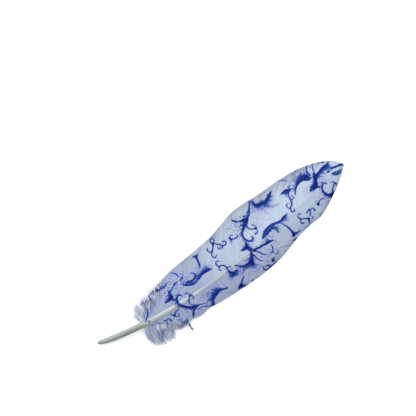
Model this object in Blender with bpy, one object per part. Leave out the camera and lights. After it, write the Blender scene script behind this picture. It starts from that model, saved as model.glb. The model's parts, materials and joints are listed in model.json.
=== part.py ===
"""Goose quill feather, dyed and printed, lying on a flat surface with its outer face up.

One grown piece: a hollow-looking barrel (the calamus) runs on as the tapering shaft (the rachis), a broad
vane and a narrow vane spread from its two sides, and loose down stands at the foot of both vanes.
X runs from the end of the barrel to the tip of the vanes, +Y towards the broad vane, and Z is up from the
surface that the feather lies on. It touches that surface at the barrel, the vane tip and the narrow rim.
"""

import math

import bmesh
import bpy
from mathutils import Vector

MM = 0.001

# Driving sizes, in millimetres along the straight line from the barrel's end to the vane tip.
LENGTH = 180.0
VANE_START = 28.0
BOW = 10.3  # how far the shaft bows towards the narrow vane
BOW_SKEW = 0.784  # puts the deepest bow at two fifths of the length
ARCH = 7.4  # how far the shaft rises off the surface between its ends
ARCH_SKEW = 0.92

# Half width of the shaft, seen from above: rounded end, barrel, then the long taper.
SHAFT_HALF_WIDTH = [
    (0.0, 0.70), (0.5, 1.05), (1.5, 1.38), (4.0, 1.66), (10.0, 1.86), (22.0, 1.84), (32.0, 1.66),
    (45.0, 1.42), (62.0, 1.12), (85.0, 0.86), (110.0, 0.66), (140.0, 0.46), (165.0, 0.32), (178.6, 0.22),
]
SHAFT_TALLER = 1.08  # the shaft is a little taller than it is wide
SHAFT_SIDES = 12
SHAFT_STEP = 2.6

# Reach of each vane, square to the shaft.
BROAD_REACH = [
    (28.0, 3.5), (32.0, 9.0), (38.0, 12.8), (45.0, 15.6), (53.0, 18.2), (62.0, 19.6), (74.0, 20.5),
    (90.0, 21.4), (102.0, 23.3), (112.0, 24.7), (120.0, 24.0), (130.0, 22.1), (142.0, 20.5), (152.0, 18.6),
    (160.0, 16.2), (166.0, 13.4), (172.0, 9.8), (177.0, 5.3), (180.0, 0.25),
]
NARROW_REACH = [
    (28.0, 2.5), (33.0, 6.0), (38.0, 8.6), (46.0, 10.9), (53.0, 12.4), (60.0, 13.5), (66.0, 12.4),
    (74.0, 13.2), (90.0, 14.7), (105.0, 15.7), (113.0, 15.6), (124.0, 14.2), (134.0, 12.6), (142.0, 12.5),
    (148.5, 13.2), (153.0, 12.4), (159.0, 10.4), (166.0, 7.8), (173.0, 4.5), (177.5, 2.1), (180.0, 0.25),
]
BROAD_COLUMNS = [0.16, 0.36, 0.58, 0.80, 1.0]
NARROW_COLUMNS = [0.22, 0.48, 0.72, 0.88, 1.0]
VANE_STEP = 2.5
VANE_THICK_ROOT = 0.85
VANE_THICK_RIM = 0.45
VANE_SEAT = 0.25  # the vanes leave the shaft this share of its half height above its middle
TIP_REST = 0.02

# Height of each rim's underside. The narrow rim lies flat on the surface along one stretch.
BROAD_RIM_HEIGHT = [
    (28.0, 3.6), (45.0, 3.8), (70.0, 3.4), (95.0, 3.0), (120.0, 2.3), (145.0, 1.3), (165.0, 0.5), (180.0, 0.02),
]
NARROW_RIM_HEIGHT = [
    (28.0, 2.6), (45.0, 2.0), (65.0, 1.1), (80.0, 0.35), (92.0, 0.0), (118.0, 0.0), (132.0, 0.12), (150.0, 0.3),
    (165.0, 0.2), (180.0, 0.02),
]
FLAT_RIM = 0.88  # outward of this share of its reach the narrow vane's underside is level
BROAD_CAMBER = 1.9
NARROW_CAMBER = 1.5

# Down locks: where each leaves the shaft (mm), its heading from +X (degrees), length and half width (mm),
# its turn along its length (degrees) and the height of its tip (mm).
NARROW_DOWN = [
    (29.8, -142, 10.5, 1.2, 62, 0.9), (30.6, -138, 16.0, 1.7, 74, 0.8), (32.0, -132, 18.6, 2.1, 68, 1.2),
    (34.0, -126, 19.0, 2.2, 60, 0.7), (36.2, -119, 18.2, 2.2, 48, 1.4), (38.6, -112, 16.4, 2.1, 40, 0.8),
    (41.2, -104, 14.4, 2.0, 30, 1.6), (44.4, -99, 14.0, 2.0, 26, 0.9), (47.2, -96, 14.0, 2.0, 22, 1.5),
    (50.0, -92, 12.8, 1.9, 18, 1.0), (53.5, -88, 12.2, 1.8, 14, 1.1),
]
BROAD_DOWN = [
    (28.6, 112, 8.6, 1.6, -14, 4.6), (29.6, 102, 11.2, 1.9, -12, 3.8), (31.4, 95, 13.0, 2.0, -10, 4.9),
    (33.8, 88, 14.4, 2.1, -12, 3.9), (36.6, 82, 15.4, 2.1, -8, 5.0), (39.8, 77, 17.0, 2.1, -10, 4.0),
    (43.4, 73, 17.8, 2.0, -8, 4.9), (47.4, 70, 19.6, 2.0, -8, 4.2),
]
STRAY_BARBS = [
    (35.5, -84, 19.5, 0.65, 10, 0.7), (47.0, -82, 19.8, 0.75, 6, 1.2), (46.6, -86, 18.4, 0.6, 14, 0.8),
]
LOCK_SECTIONS = 7
LOCK_SIDES = 6
LOCK_FLATNESS = 0.55

FEATHER_COLOUR = (0.52, 0.61, 0.76)
FEATHER_ROUGHNESS = 0.6


def along(points, x):
    """Smooth curve through (x, value) points, without overshoot between them."""
    if x <= points[0][0]:
        return points[0][1]
    if x >= points[-1][0]:
        return points[-1][1]
    slopes = [(b[1] - a[1]) / (b[0] - a[0]) for a, b in zip(points, points[1:])]

    def tangent(i):
        if i == 0 or i == len(points) - 1:
            return slopes[min(i, len(slopes) - 1)]
        before, after = slopes[i - 1], slopes[i]
        return 0.0 if before * after <= 0 else 2 * before * after / (before + after)

    i = max(k for k in range(len(points) - 1) if points[k][0] <= x)
    step = points[i + 1][0] - points[i][0]
    s = (x - points[i][0]) / step
    return (
        (1 + 2 * s) * (1 - s) ** 2 * points[i][1]
        + s * (1 - s) ** 2 * step * tangent(i)
        + s * s * (3 - 2 * s) * points[i + 1][1]
        + s * s * (s - 1) * step * tangent(i + 1)
    )


def bow(x):
    return -BOW * math.sin(math.pi * (x / LENGTH) ** BOW_SKEW)


def arch(x):
    return ARCH * math.sin(math.pi * (x / LENGTH) ** ARCH_SKEW)


def shaft_half_height(x):
    return along(SHAFT_HALF_WIDTH, x) * SHAFT_TALLER


def spread(first, last, step):
    count = max(1, round((last - first) / step))
    return [first + (last - first) * i / count for i in range(count + 1)]


SHAFT_PLACES = [point[0] for point in SHAFT_HALF_WIDTH[:4]] + spread(6.0, SHAFT_HALF_WIDTH[-1][0], SHAFT_STEP)
TIP_MIDDLE = TIP_REST + VANE_THICK_RIM / 2


def barrel_lift(x):
    """How high the barrel's end has to be for the shaft's underside to touch the surface at x."""
    share = x / LENGTH
    return (shaft_half_height(x) - arch(x) - TIP_MIDDLE * share) / (1 - share)


BARREL_END_HEIGHT = max(barrel_lift(x) for x in SHAFT_PLACES if x < VANE_START)


def shaft_height(x):
    """Height of the shaft's middle: the barrel's underside and the vane tip both come down to the surface."""
    share = x / LENGTH
    return arch(x) + BARREL_END_HEIGHT * (1 - share) + TIP_MIDDLE * share


def shaft_frame(x):
    """Point on the shaft seen from above, and the direction square to it towards the broad vane."""
    reach = 0.05
    low, high = max(x - reach, 0.0), min(x + reach, LENGTH)
    heading = Vector((high - low, bow(high) - bow(low))).normalized()
    return Vector((x, bow(x))), Vector((-heading.y, heading.x))


def loft(name, rings):
    """Closed skin through rings of points, with a flat cap at each end."""
    made = bmesh.new()
    loops = [[made.verts.new(Vector(point) * MM) for point in ring] for ring in rings]
    sides = len(loops[0])
    for ring, following in zip(loops, loops[1:]):
        for i in range(sides):
            j = (i + 1) % sides
            made.faces.new((ring[i], ring[j], following[j], following[i]))
    made.faces.new(list(reversed(loops[0])))
    made.faces.new(loops[-1])
    return finish_mesh(name, made)


def finish_mesh(name, made):
    bmesh.ops.recalc_face_normals(made, faces=made.faces)
    mesh = bpy.data.meshes.new(name)
    made.to_mesh(mesh)
    made.free()
    return mesh


def oval(middle, side, up, half_width, half_height, sides):
    turns = [2 * math.pi * i / sides for i in range(sides)]
    return [
        middle + side * (half_width * math.cos(turn)) + up * (half_height * math.sin(turn)) for turn in turns
    ]


def shaft_mesh():
    """Barrel and rachis in one: a fine run of rings rounds the end, then even steps to the vane tip."""
    rings = []
    for x in SHAFT_PLACES:
        point, side = shaft_frame(x)
        middle = Vector((point.x, point.y, shaft_height(x)))
        half_width = along(SHAFT_HALF_WIDTH, x)
        rings.append(
            oval(middle, side.to_3d(), Vector((0, 0, 1)), half_width, half_width * SHAFT_TALLER, SHAFT_SIDES)
        )
    return loft("shaft", rings)


def vane_underside(x, share, rim_height, camber, level_from):
    """Height under a vane at a share of its reach, falling in a curve from the shaft to the rim."""
    root = shaft_height(x) + VANE_SEAT * shaft_half_height(x) - VANE_THICK_ROOT / 2
    root = max(root, along(rim_height, x))
    fall = min(1.0, share / level_from) ** camber
    return root + (along(rim_height, x) - root) * fall


def vane_row(x):
    """Points across both vanes at one place on the shaft, from narrow rim to broad rim, with thickness."""
    point, side = shaft_frame(x)
    row = []
    columns = [-c for c in reversed(NARROW_COLUMNS)] + [0.0] + BROAD_COLUMNS
    for column in columns:
        if column < 0:
            offset = column * along(NARROW_REACH, x)
            under = vane_underside(x, -column, NARROW_RIM_HEIGHT, NARROW_CAMBER, FLAT_RIM)
        else:
            offset = column * along(BROAD_REACH, x)
            under = vane_underside(x, column, BROAD_RIM_HEIGHT, BROAD_CAMBER, 1.0)
        thick = VANE_THICK_ROOT + (VANE_THICK_RIM - VANE_THICK_ROOT) * abs(column)
        thick *= min(1.0, 0.5 + (LENGTH - x) / 20.0)
        place = point + side * offset
        row.append((Vector((place.x, place.y, under)), thick))
    return row


def vane_mesh():
    """Both vanes as one thin cambered sheet that passes through the shaft."""
    made = bmesh.new()
    tops, unders = [], []
    for x in spread(VANE_START, LENGTH, VANE_STEP):
        row = vane_row(x)
        unders.append([made.verts.new(place * MM) for place, _ in row])
        tops.append([made.verts.new((place + Vector((0, 0, thick))) * MM) for place, thick in row])
    last = len(tops[0]) - 1
    for i in range(len(tops) - 1):
        for j in range(last):
            made.faces.new((tops[i][j], tops[i + 1][j], tops[i + 1][j + 1], tops[i][j + 1]))
            made.faces.new((unders[i][j], unders[i][j + 1], unders[i + 1][j + 1], unders[i + 1][j]))
        for j in (0, last):
            made.faces.new((tops[i][j], unders[i][j], unders[i + 1][j], tops[i + 1][j]))
    for i in (0, len(tops) - 1):
        for j in range(last):
            made.faces.new((tops[i][j], tops[i][j + 1], unders[i][j + 1], unders[i][j]))
    return finish_mesh("vanes", made)


def lock_mesh(name, root, heading, length, half_width, turn, tip_height):
    """One tapering lock of down that leaves the shaft, swings by turn and sinks to its tip height."""
    point, _ = shaft_frame(root)
    place = Vector((point.x, point.y, shaft_height(root)))
    fall = (place.z - tip_height) / LOCK_SECTIONS
    rings = []
    for i in range(LOCK_SECTIONS + 1):
        share = i / LOCK_SECTIONS
        angle = math.radians(heading + turn * share)
        forward = Vector((math.cos(angle), math.sin(angle), 0))
        if i:
            place = place + forward * (length / LOCK_SECTIONS) - Vector((0, 0, fall))
        swell = 0.35 + 0.65 * math.sin(math.pi * min(1.0, 0.15 + share * 0.75))
        width = half_width * swell * (1.0 - 0.85 * share**4)
        side = Vector((-forward.y, forward.x, 0))
        height = min(width * LOCK_FLATNESS, place.z - 0.02)
        rings.append(oval(place, side, Vector((0, 0, 1)), width, height, LOCK_SIDES))
    return loft(name, rings)


def keratin():
    material = bpy.data.materials.new("printed_feather_keratin")
    material.use_nodes = True
    shader = material.node_tree.nodes["Principled BSDF"]
    shader.inputs["Base Color"].default_value = (*FEATHER_COLOUR, 1.0)
    shader.inputs["Roughness"].default_value = FEATHER_ROUGHNESS
    shader.inputs["Metallic"].default_value = 0.0
    return material


def clear_scene():
    for thing in list(bpy.data.objects):
        bpy.data.objects.remove(thing)


def helper(name, mesh, collection):
    thing = bpy.data.objects.new(name, mesh)
    collection.objects.link(thing)
    thing.hide_render = True
    thing.display_type = "WIRE"
    return thing


def centre_on_surface(thing):
    """Puts the middle of the feather's plan at the origin, at the height of the surface that it lies on."""
    graph = bpy.context.evaluated_depsgraph_get()
    corners = [Vector(corner) for corner in thing.evaluated_get(graph).bound_box]
    low = Vector([min(c[i] for c in corners) for i in range(3)])
    high = Vector([max(c[i] for c in corners) for i in range(3)])
    return Vector((-(low.x + high.x) / 2, -(low.y + high.y) / 2, -low.z))


def main():
    clear_scene()
    scene = bpy.context.scene.collection
    joined = bpy.data.collections.new("grown_onto_the_vanes")
    scene.children.link(joined)
    helper("shaft_form", shaft_mesh(), joined)
    locks = NARROW_DOWN + BROAD_DOWN + STRAY_BARBS
    for i, lock in enumerate(locks):
        helper(f"down_lock_{i + 1:02d}", lock_mesh(f"down_lock_{i + 1:02d}", *lock), joined)
    feather = bpy.data.objects.new("feather", vane_mesh())
    scene.objects.link(feather)
    feather.data.materials.append(keratin())
    union = feather.modifiers.new("grown_together", "BOOLEAN")
    union.operation = "UNION"
    union.solver = "EXACT"
    union.operand_type = "COLLECTION"
    union.collection = joined
    bpy.context.view_layer.update()
    move = centre_on_surface(feather)
    for thing in [feather, *joined.objects]:
        thing.location = move


main()
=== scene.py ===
"""Goose quill feather with a blue scrollwork print, lying with its outer face up.

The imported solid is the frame. Over it come the shaft, both vanes barb by barb, the down at their foot and a
few stray barbs. Sizes inside the feather are millimetres along the straight line from the barrel's end to the
vane tip (the station) and square to it, positive towards the broad vane; place() turns them to the frame's
metres.
"""

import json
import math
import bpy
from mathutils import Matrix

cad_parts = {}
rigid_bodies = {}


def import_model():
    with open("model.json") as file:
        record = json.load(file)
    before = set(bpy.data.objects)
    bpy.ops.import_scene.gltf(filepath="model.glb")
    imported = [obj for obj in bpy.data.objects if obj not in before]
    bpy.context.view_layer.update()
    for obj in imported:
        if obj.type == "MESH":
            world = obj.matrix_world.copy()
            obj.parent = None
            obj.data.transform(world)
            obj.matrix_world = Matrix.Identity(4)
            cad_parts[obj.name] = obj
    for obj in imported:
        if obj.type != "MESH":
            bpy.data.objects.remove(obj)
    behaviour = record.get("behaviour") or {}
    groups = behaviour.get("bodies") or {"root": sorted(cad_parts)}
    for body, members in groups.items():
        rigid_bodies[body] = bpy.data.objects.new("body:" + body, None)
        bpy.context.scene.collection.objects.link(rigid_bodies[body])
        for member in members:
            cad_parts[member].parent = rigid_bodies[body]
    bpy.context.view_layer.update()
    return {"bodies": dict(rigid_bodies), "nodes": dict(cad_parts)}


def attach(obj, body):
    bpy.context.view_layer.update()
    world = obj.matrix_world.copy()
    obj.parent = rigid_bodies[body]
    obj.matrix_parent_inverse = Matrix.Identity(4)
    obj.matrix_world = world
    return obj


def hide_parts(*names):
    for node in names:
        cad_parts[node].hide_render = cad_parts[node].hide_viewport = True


bl_info = {
    "name": "Goose Quill Feather",
    "version": (1, 0, 0),
    "blender": (4, 5, 0),
    "location": "3D View > Sidebar > Feather",
    "description": "Goose quill feather: horn shaft, two vanes of printed barbs, down and a pale stage",
    "category": "Add Mesh",
}

import bmesh
import bpy
import numpy as np
from bpy.props import FloatProperty, FloatVectorProperty, IntProperty, PointerProperty
from mathutils import Vector

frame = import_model()
BODY = next(iter(frame["bodies"]))
NODE = next(iter(frame["nodes"]))

MM = 0.001
SENSOR_WIDTH = 36.0
FOCUS_HEIGHT = 3.0  # height of the plane on which the camera's view width is measured
LENGTH = 180.0  # from the barrel's end to the vane tip, in a straight line
VANE_START = 28.0
SHAFT_END = 178.6
BOW, BOW_SKEW = 10.3, 0.784  # how far the shaft bows towards the narrow vane, and how early
ARCH, ARCH_SKEW = 7.4, 0.92  # how far it arches up off its surface, and how early
TIP_MIDDLE = 0.245  # height of the middle of the vane tip
PLAN_MIDDLE = (89.7635, -6.1886)  # the frame's origin, in stations and millimetres across

SHAFT_HALF_WIDTH = [
    (0.0, 0.70), (0.5, 1.05), (1.5, 1.38), (4.0, 1.66), (10.0, 1.86), (22.0, 1.84), (32.0, 1.66),
    (45.0, 1.42), (62.0, 1.12), (85.0, 0.86), (110.0, 0.66), (140.0, 0.46), (165.0, 0.32), (178.6, 0.22),
]
SHAFT_TALLER = 1.08  # the shaft's height over its width
VANE_SEAT = 0.25  # how far up the shaft's half height the vanes meet it
VANE_THICK_ROOT, VANE_THICK_RIM = 0.85, 0.45  # the solid's vane, inside which the sheets lie
SHEET_LIFT, TIP_LIFT = 0.62, 0.66  # how far up that thickness a sheet's upper face and its free tips are
SPLIT_GAP = 0.003  # half of the gap at the shaft where barbs have come unhooked
# The barrel's end turns in to a small dimple, where the growing feather was once fed: station, half width.
DIMPLE = [(0.55, 0.16), (0.18, 0.3), (0.02, 0.46), (0.0, 0.6), (0.12, 0.78), (0.5, 1.02)]
BARE_PLACES = [(100.0, 5.0), (114.5, 3.5), (121.0, 3.0)]  # undyed places on the rachis: station, width
# Each vane: which side it is on, its reach from the shaft, its rim's height, camber, the share of the reach
# where its rim is level, how far along the shaft each barb has swept by the time that it meets the rim, the
# places where barbs have come unhooked, the stations between which its barbs are loose and the share that
# these lose, its painted shade (how much its whole tone is raised or lowered: the narrow vane is painted
# darker, as if in shade), how much darker its foot is, and its mesh's columns and seed.
BROAD = {
    "side": 1.0,
    "reach": [
        (28.0, 3.5), (32.0, 9.0), (38.0, 12.8), (45.0, 15.6), (53.0, 18.2), (62.0, 19.6), (74.0, 20.5),
        (90.0, 21.4), (102.0, 23.3), (112.0, 24.7), (120.0, 24.0), (130.0, 22.1), (142.0, 20.5),
        (152.0, 18.6), (160.0, 16.2), (166.0, 13.4), (172.0, 9.8), (177.0, 5.3), (180.0, 0.25),
    ],
    "rim": [
        (28.0, 3.6), (45.0, 3.8), (70.0, 3.4), (95.0, 3.0), (120.0, 2.3), (145.0, 1.3), (165.0, 0.5),
        (180.0, 0.02),
    ],
    "camber": 1.9,
    "level": 1.0,
    "sweep": [
        (28.0, 3.0), (34.0, 6.0), (45.0, 12.0), (60.0, 17.0), (90.0, 21.0), (118.0, 23.5), (140.0, 21.0),
        (155.0, 15.5), (168.0, 8.6), (178.6, 1.2), (180.0, 0.05),
    ],
    # root station, opening at the rim, width drawn apart, and how late it opens
    "splits": [(97.0, 0.25, 0.8, 6.0), (38.0, 0.7, 1.6, 2.0), (32.5, 0.9, 1.4, 1.5)],
    "loose": (32.0, 44.0),
    "bare": 0.25,
    "shade": 0.02,
    "foot": 0.42,
    "columns": 70,
    "seed": 11,
}
NARROW = {
    "side": -1.0,
    "reach": [
        (28.0, 2.5), (33.0, 6.0), (38.0, 8.6), (46.0, 10.9), (53.0, 12.0), (60.0, 13.1), (66.0, 12.3),
        (74.0, 13.2), (90.0, 14.7), (105.0, 15.7), (113.0, 15.6), (124.0, 14.2), (134.0, 12.6), (142.0, 12.5),
        (148.5, 13.2), (153.0, 12.4), (159.0, 10.4), (166.0, 7.8), (173.0, 4.5), (177.5, 2.1), (180.0, 0.25),
    ],
    "rim": [
        (28.0, 2.6), (45.0, 2.0), (65.0, 1.1), (80.0, 0.35), (92.0, 0.0), (118.0, 0.0), (132.0, 0.12),
        (150.0, 0.3), (165.0, 0.2), (180.0, 0.02),
    ],
    "camber": 1.5,
    "level": 0.88,
    "sweep": [
        (28.0, 2.0), (36.0, 5.0), (45.0, 9.0), (60.0, 13.0), (90.0, 17.0), (120.0, 18.0), (140.0, 16.0),
        (155.0, 13.0), (168.0, 7.6), (178.6, 1.2), (180.0, 0.05),
    ],
    "splits": [(113.0, 0.8, 1.3, 5.0), (40.5, 0.6, 1.2, 2.5), (35.5, 0.8, 1.4, 1.5)],
    "loose": (32.0, 40.0),
    "bare": 0.42,
    "shade": -0.14,
    "foot": 0.04,
    "columns": 52,
    "seed": 12,
}
# Down: station of the root, heading and turn in degrees from the shaft's line, length and height of its end.
NARROW_DOWN = [
    (29.0, -130, 48, 10.0, 1.2), (30.2, -131, 54, 13.4, 0.9), (31.8, -129, 54, 15.6, 1.0),
    (33.6, -127, 48, 16.6, 0.9), (36.0, -122, 38, 17.8, 1.1), (38.4, -117, 31, 18.0, 0.9),
    (40.6, -113, 26, 16.4, 1.2), (42.8, -110, 22, 14.4, 1.0), (44.2, -108, 20, 12.0, 1.2),
    (45.4, -104, 16, 13.9, 1.3), (47.6, -101, 16, 14.6, 1.0), (49.6, -98, 18, 13.8, 1.1),
    (51.2, -95, 16, 12.8, 1.1),
]
BROAD_DOWN = [
    (28.6, 112, -14, 8.6, 4.6), (29.6, 102, -12, 11.2, 3.9), (31.4, 95, -10, 13.0, 4.8),
    (33.8, 88, -12, 14.4, 4.0), (36.6, 82, -8, 15.4, 4.9), (39.8, 77, -10, 17.0, 4.1),
    (43.4, 73, -8, 17.8, 4.9), (47.4, 70, -8, 19.4, 4.2),
]
STRAND_SIDES = 3
BARBULES_PER_RIB = 30
# Down on each side: table, share of the ribs, seed, stations of the first and the last root, and lift.
DOWN_PLANS = {
    "narrow_down": (NARROW_DOWN, 1.0, 21, 29.3, 51.0, 0.8),
    "broad_down": (BROAD_DOWN, 0.55, 22, 28.4, 47.0, 0.6),
}
# Single barbs: depth of ink, tone, girth, height at the start and the end, and the points each runs through.
STRAY_BARBS = [
    (0.95, 0.3, 1.5, (1.7, 1.0), [
        (50.4, -19.0), (50.4, -20.8), (50.2, -22.3), (50.0, -23.9), (49.7, -25.6), (49.8, -27.2),
        (50.1, -28.9),
    ]),
    (0.9, 0.3, 0.9, (1.2, 1.0), [(49.8, -24.8), (50.2, -26.3), (51.4, -27.6)]),
    (0.7, 0.3, 0.7, (1.2, 0.9), [(50.2, -21.9), (50.5, -23.7), (50.5, -25.9)]),
    (0.15, 0.25, 1.0, (1.2, 0.6), [(39.5, -18.9), (39.0, -21.4), (38.7, -24.1), (39.1, -27.1)]),
    (0.0, 0.2, 0.7, (1.4, 0.8), [(39.9, -20.3), (40.1, -23.0), (39.3, -24.9)]),
    (0.0, 0.8, 0.5, (2.2, 1.4), [(30.5, -9.1), (28.3, -9.6), (26.3, -10.0), (24.6, -11.3)]),
    (0.0, 0.8, 0.45, (2.2, 1.6), [(29.4, -10.4), (26.5, -11.6), (24.0, -14.2)]),
    (0.0, 0.7, 0.45, (2.0, 1.2), [(27.8, -12.9), (25.3, -14.8), (23.8, -17.7)]),
    (0.0, 0.6, 0.5, (1.8, 0.9), [(27.5, -17.8), (26.6, -21.5), (27.4, -25.0)]),
    (0.0, 0.6, 0.5, (1.8, 0.8), [(30.5, -20.7), (30.9, -24.7), (32.7, -27.7)]),
]

# Lights: name, azimuth and height in degrees, distance and size in metres, power in watts, and colour.
LIGHTS = [
    ("window", 101.0, 54.0, 1.1, 1.1, 7.0, "#fffaf2"),
    ("fill", -40.0, 60.0, 1.3, 1.2, 2.0, "#f2f6ff"),
]

# How the feather lies in the photograph: the picture's side and the barrel's end in pixels, the pixels from
# there to the vane tip, and the angle in degrees by which that line rises.
PHOTO_SIDE = 416
PHOTO_START = (97.6, 343.0)
PHOTO_CHORD = 304.95
PHOTO_RISE = 36.03
PIXEL = LENGTH / PHOTO_CHORD
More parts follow.
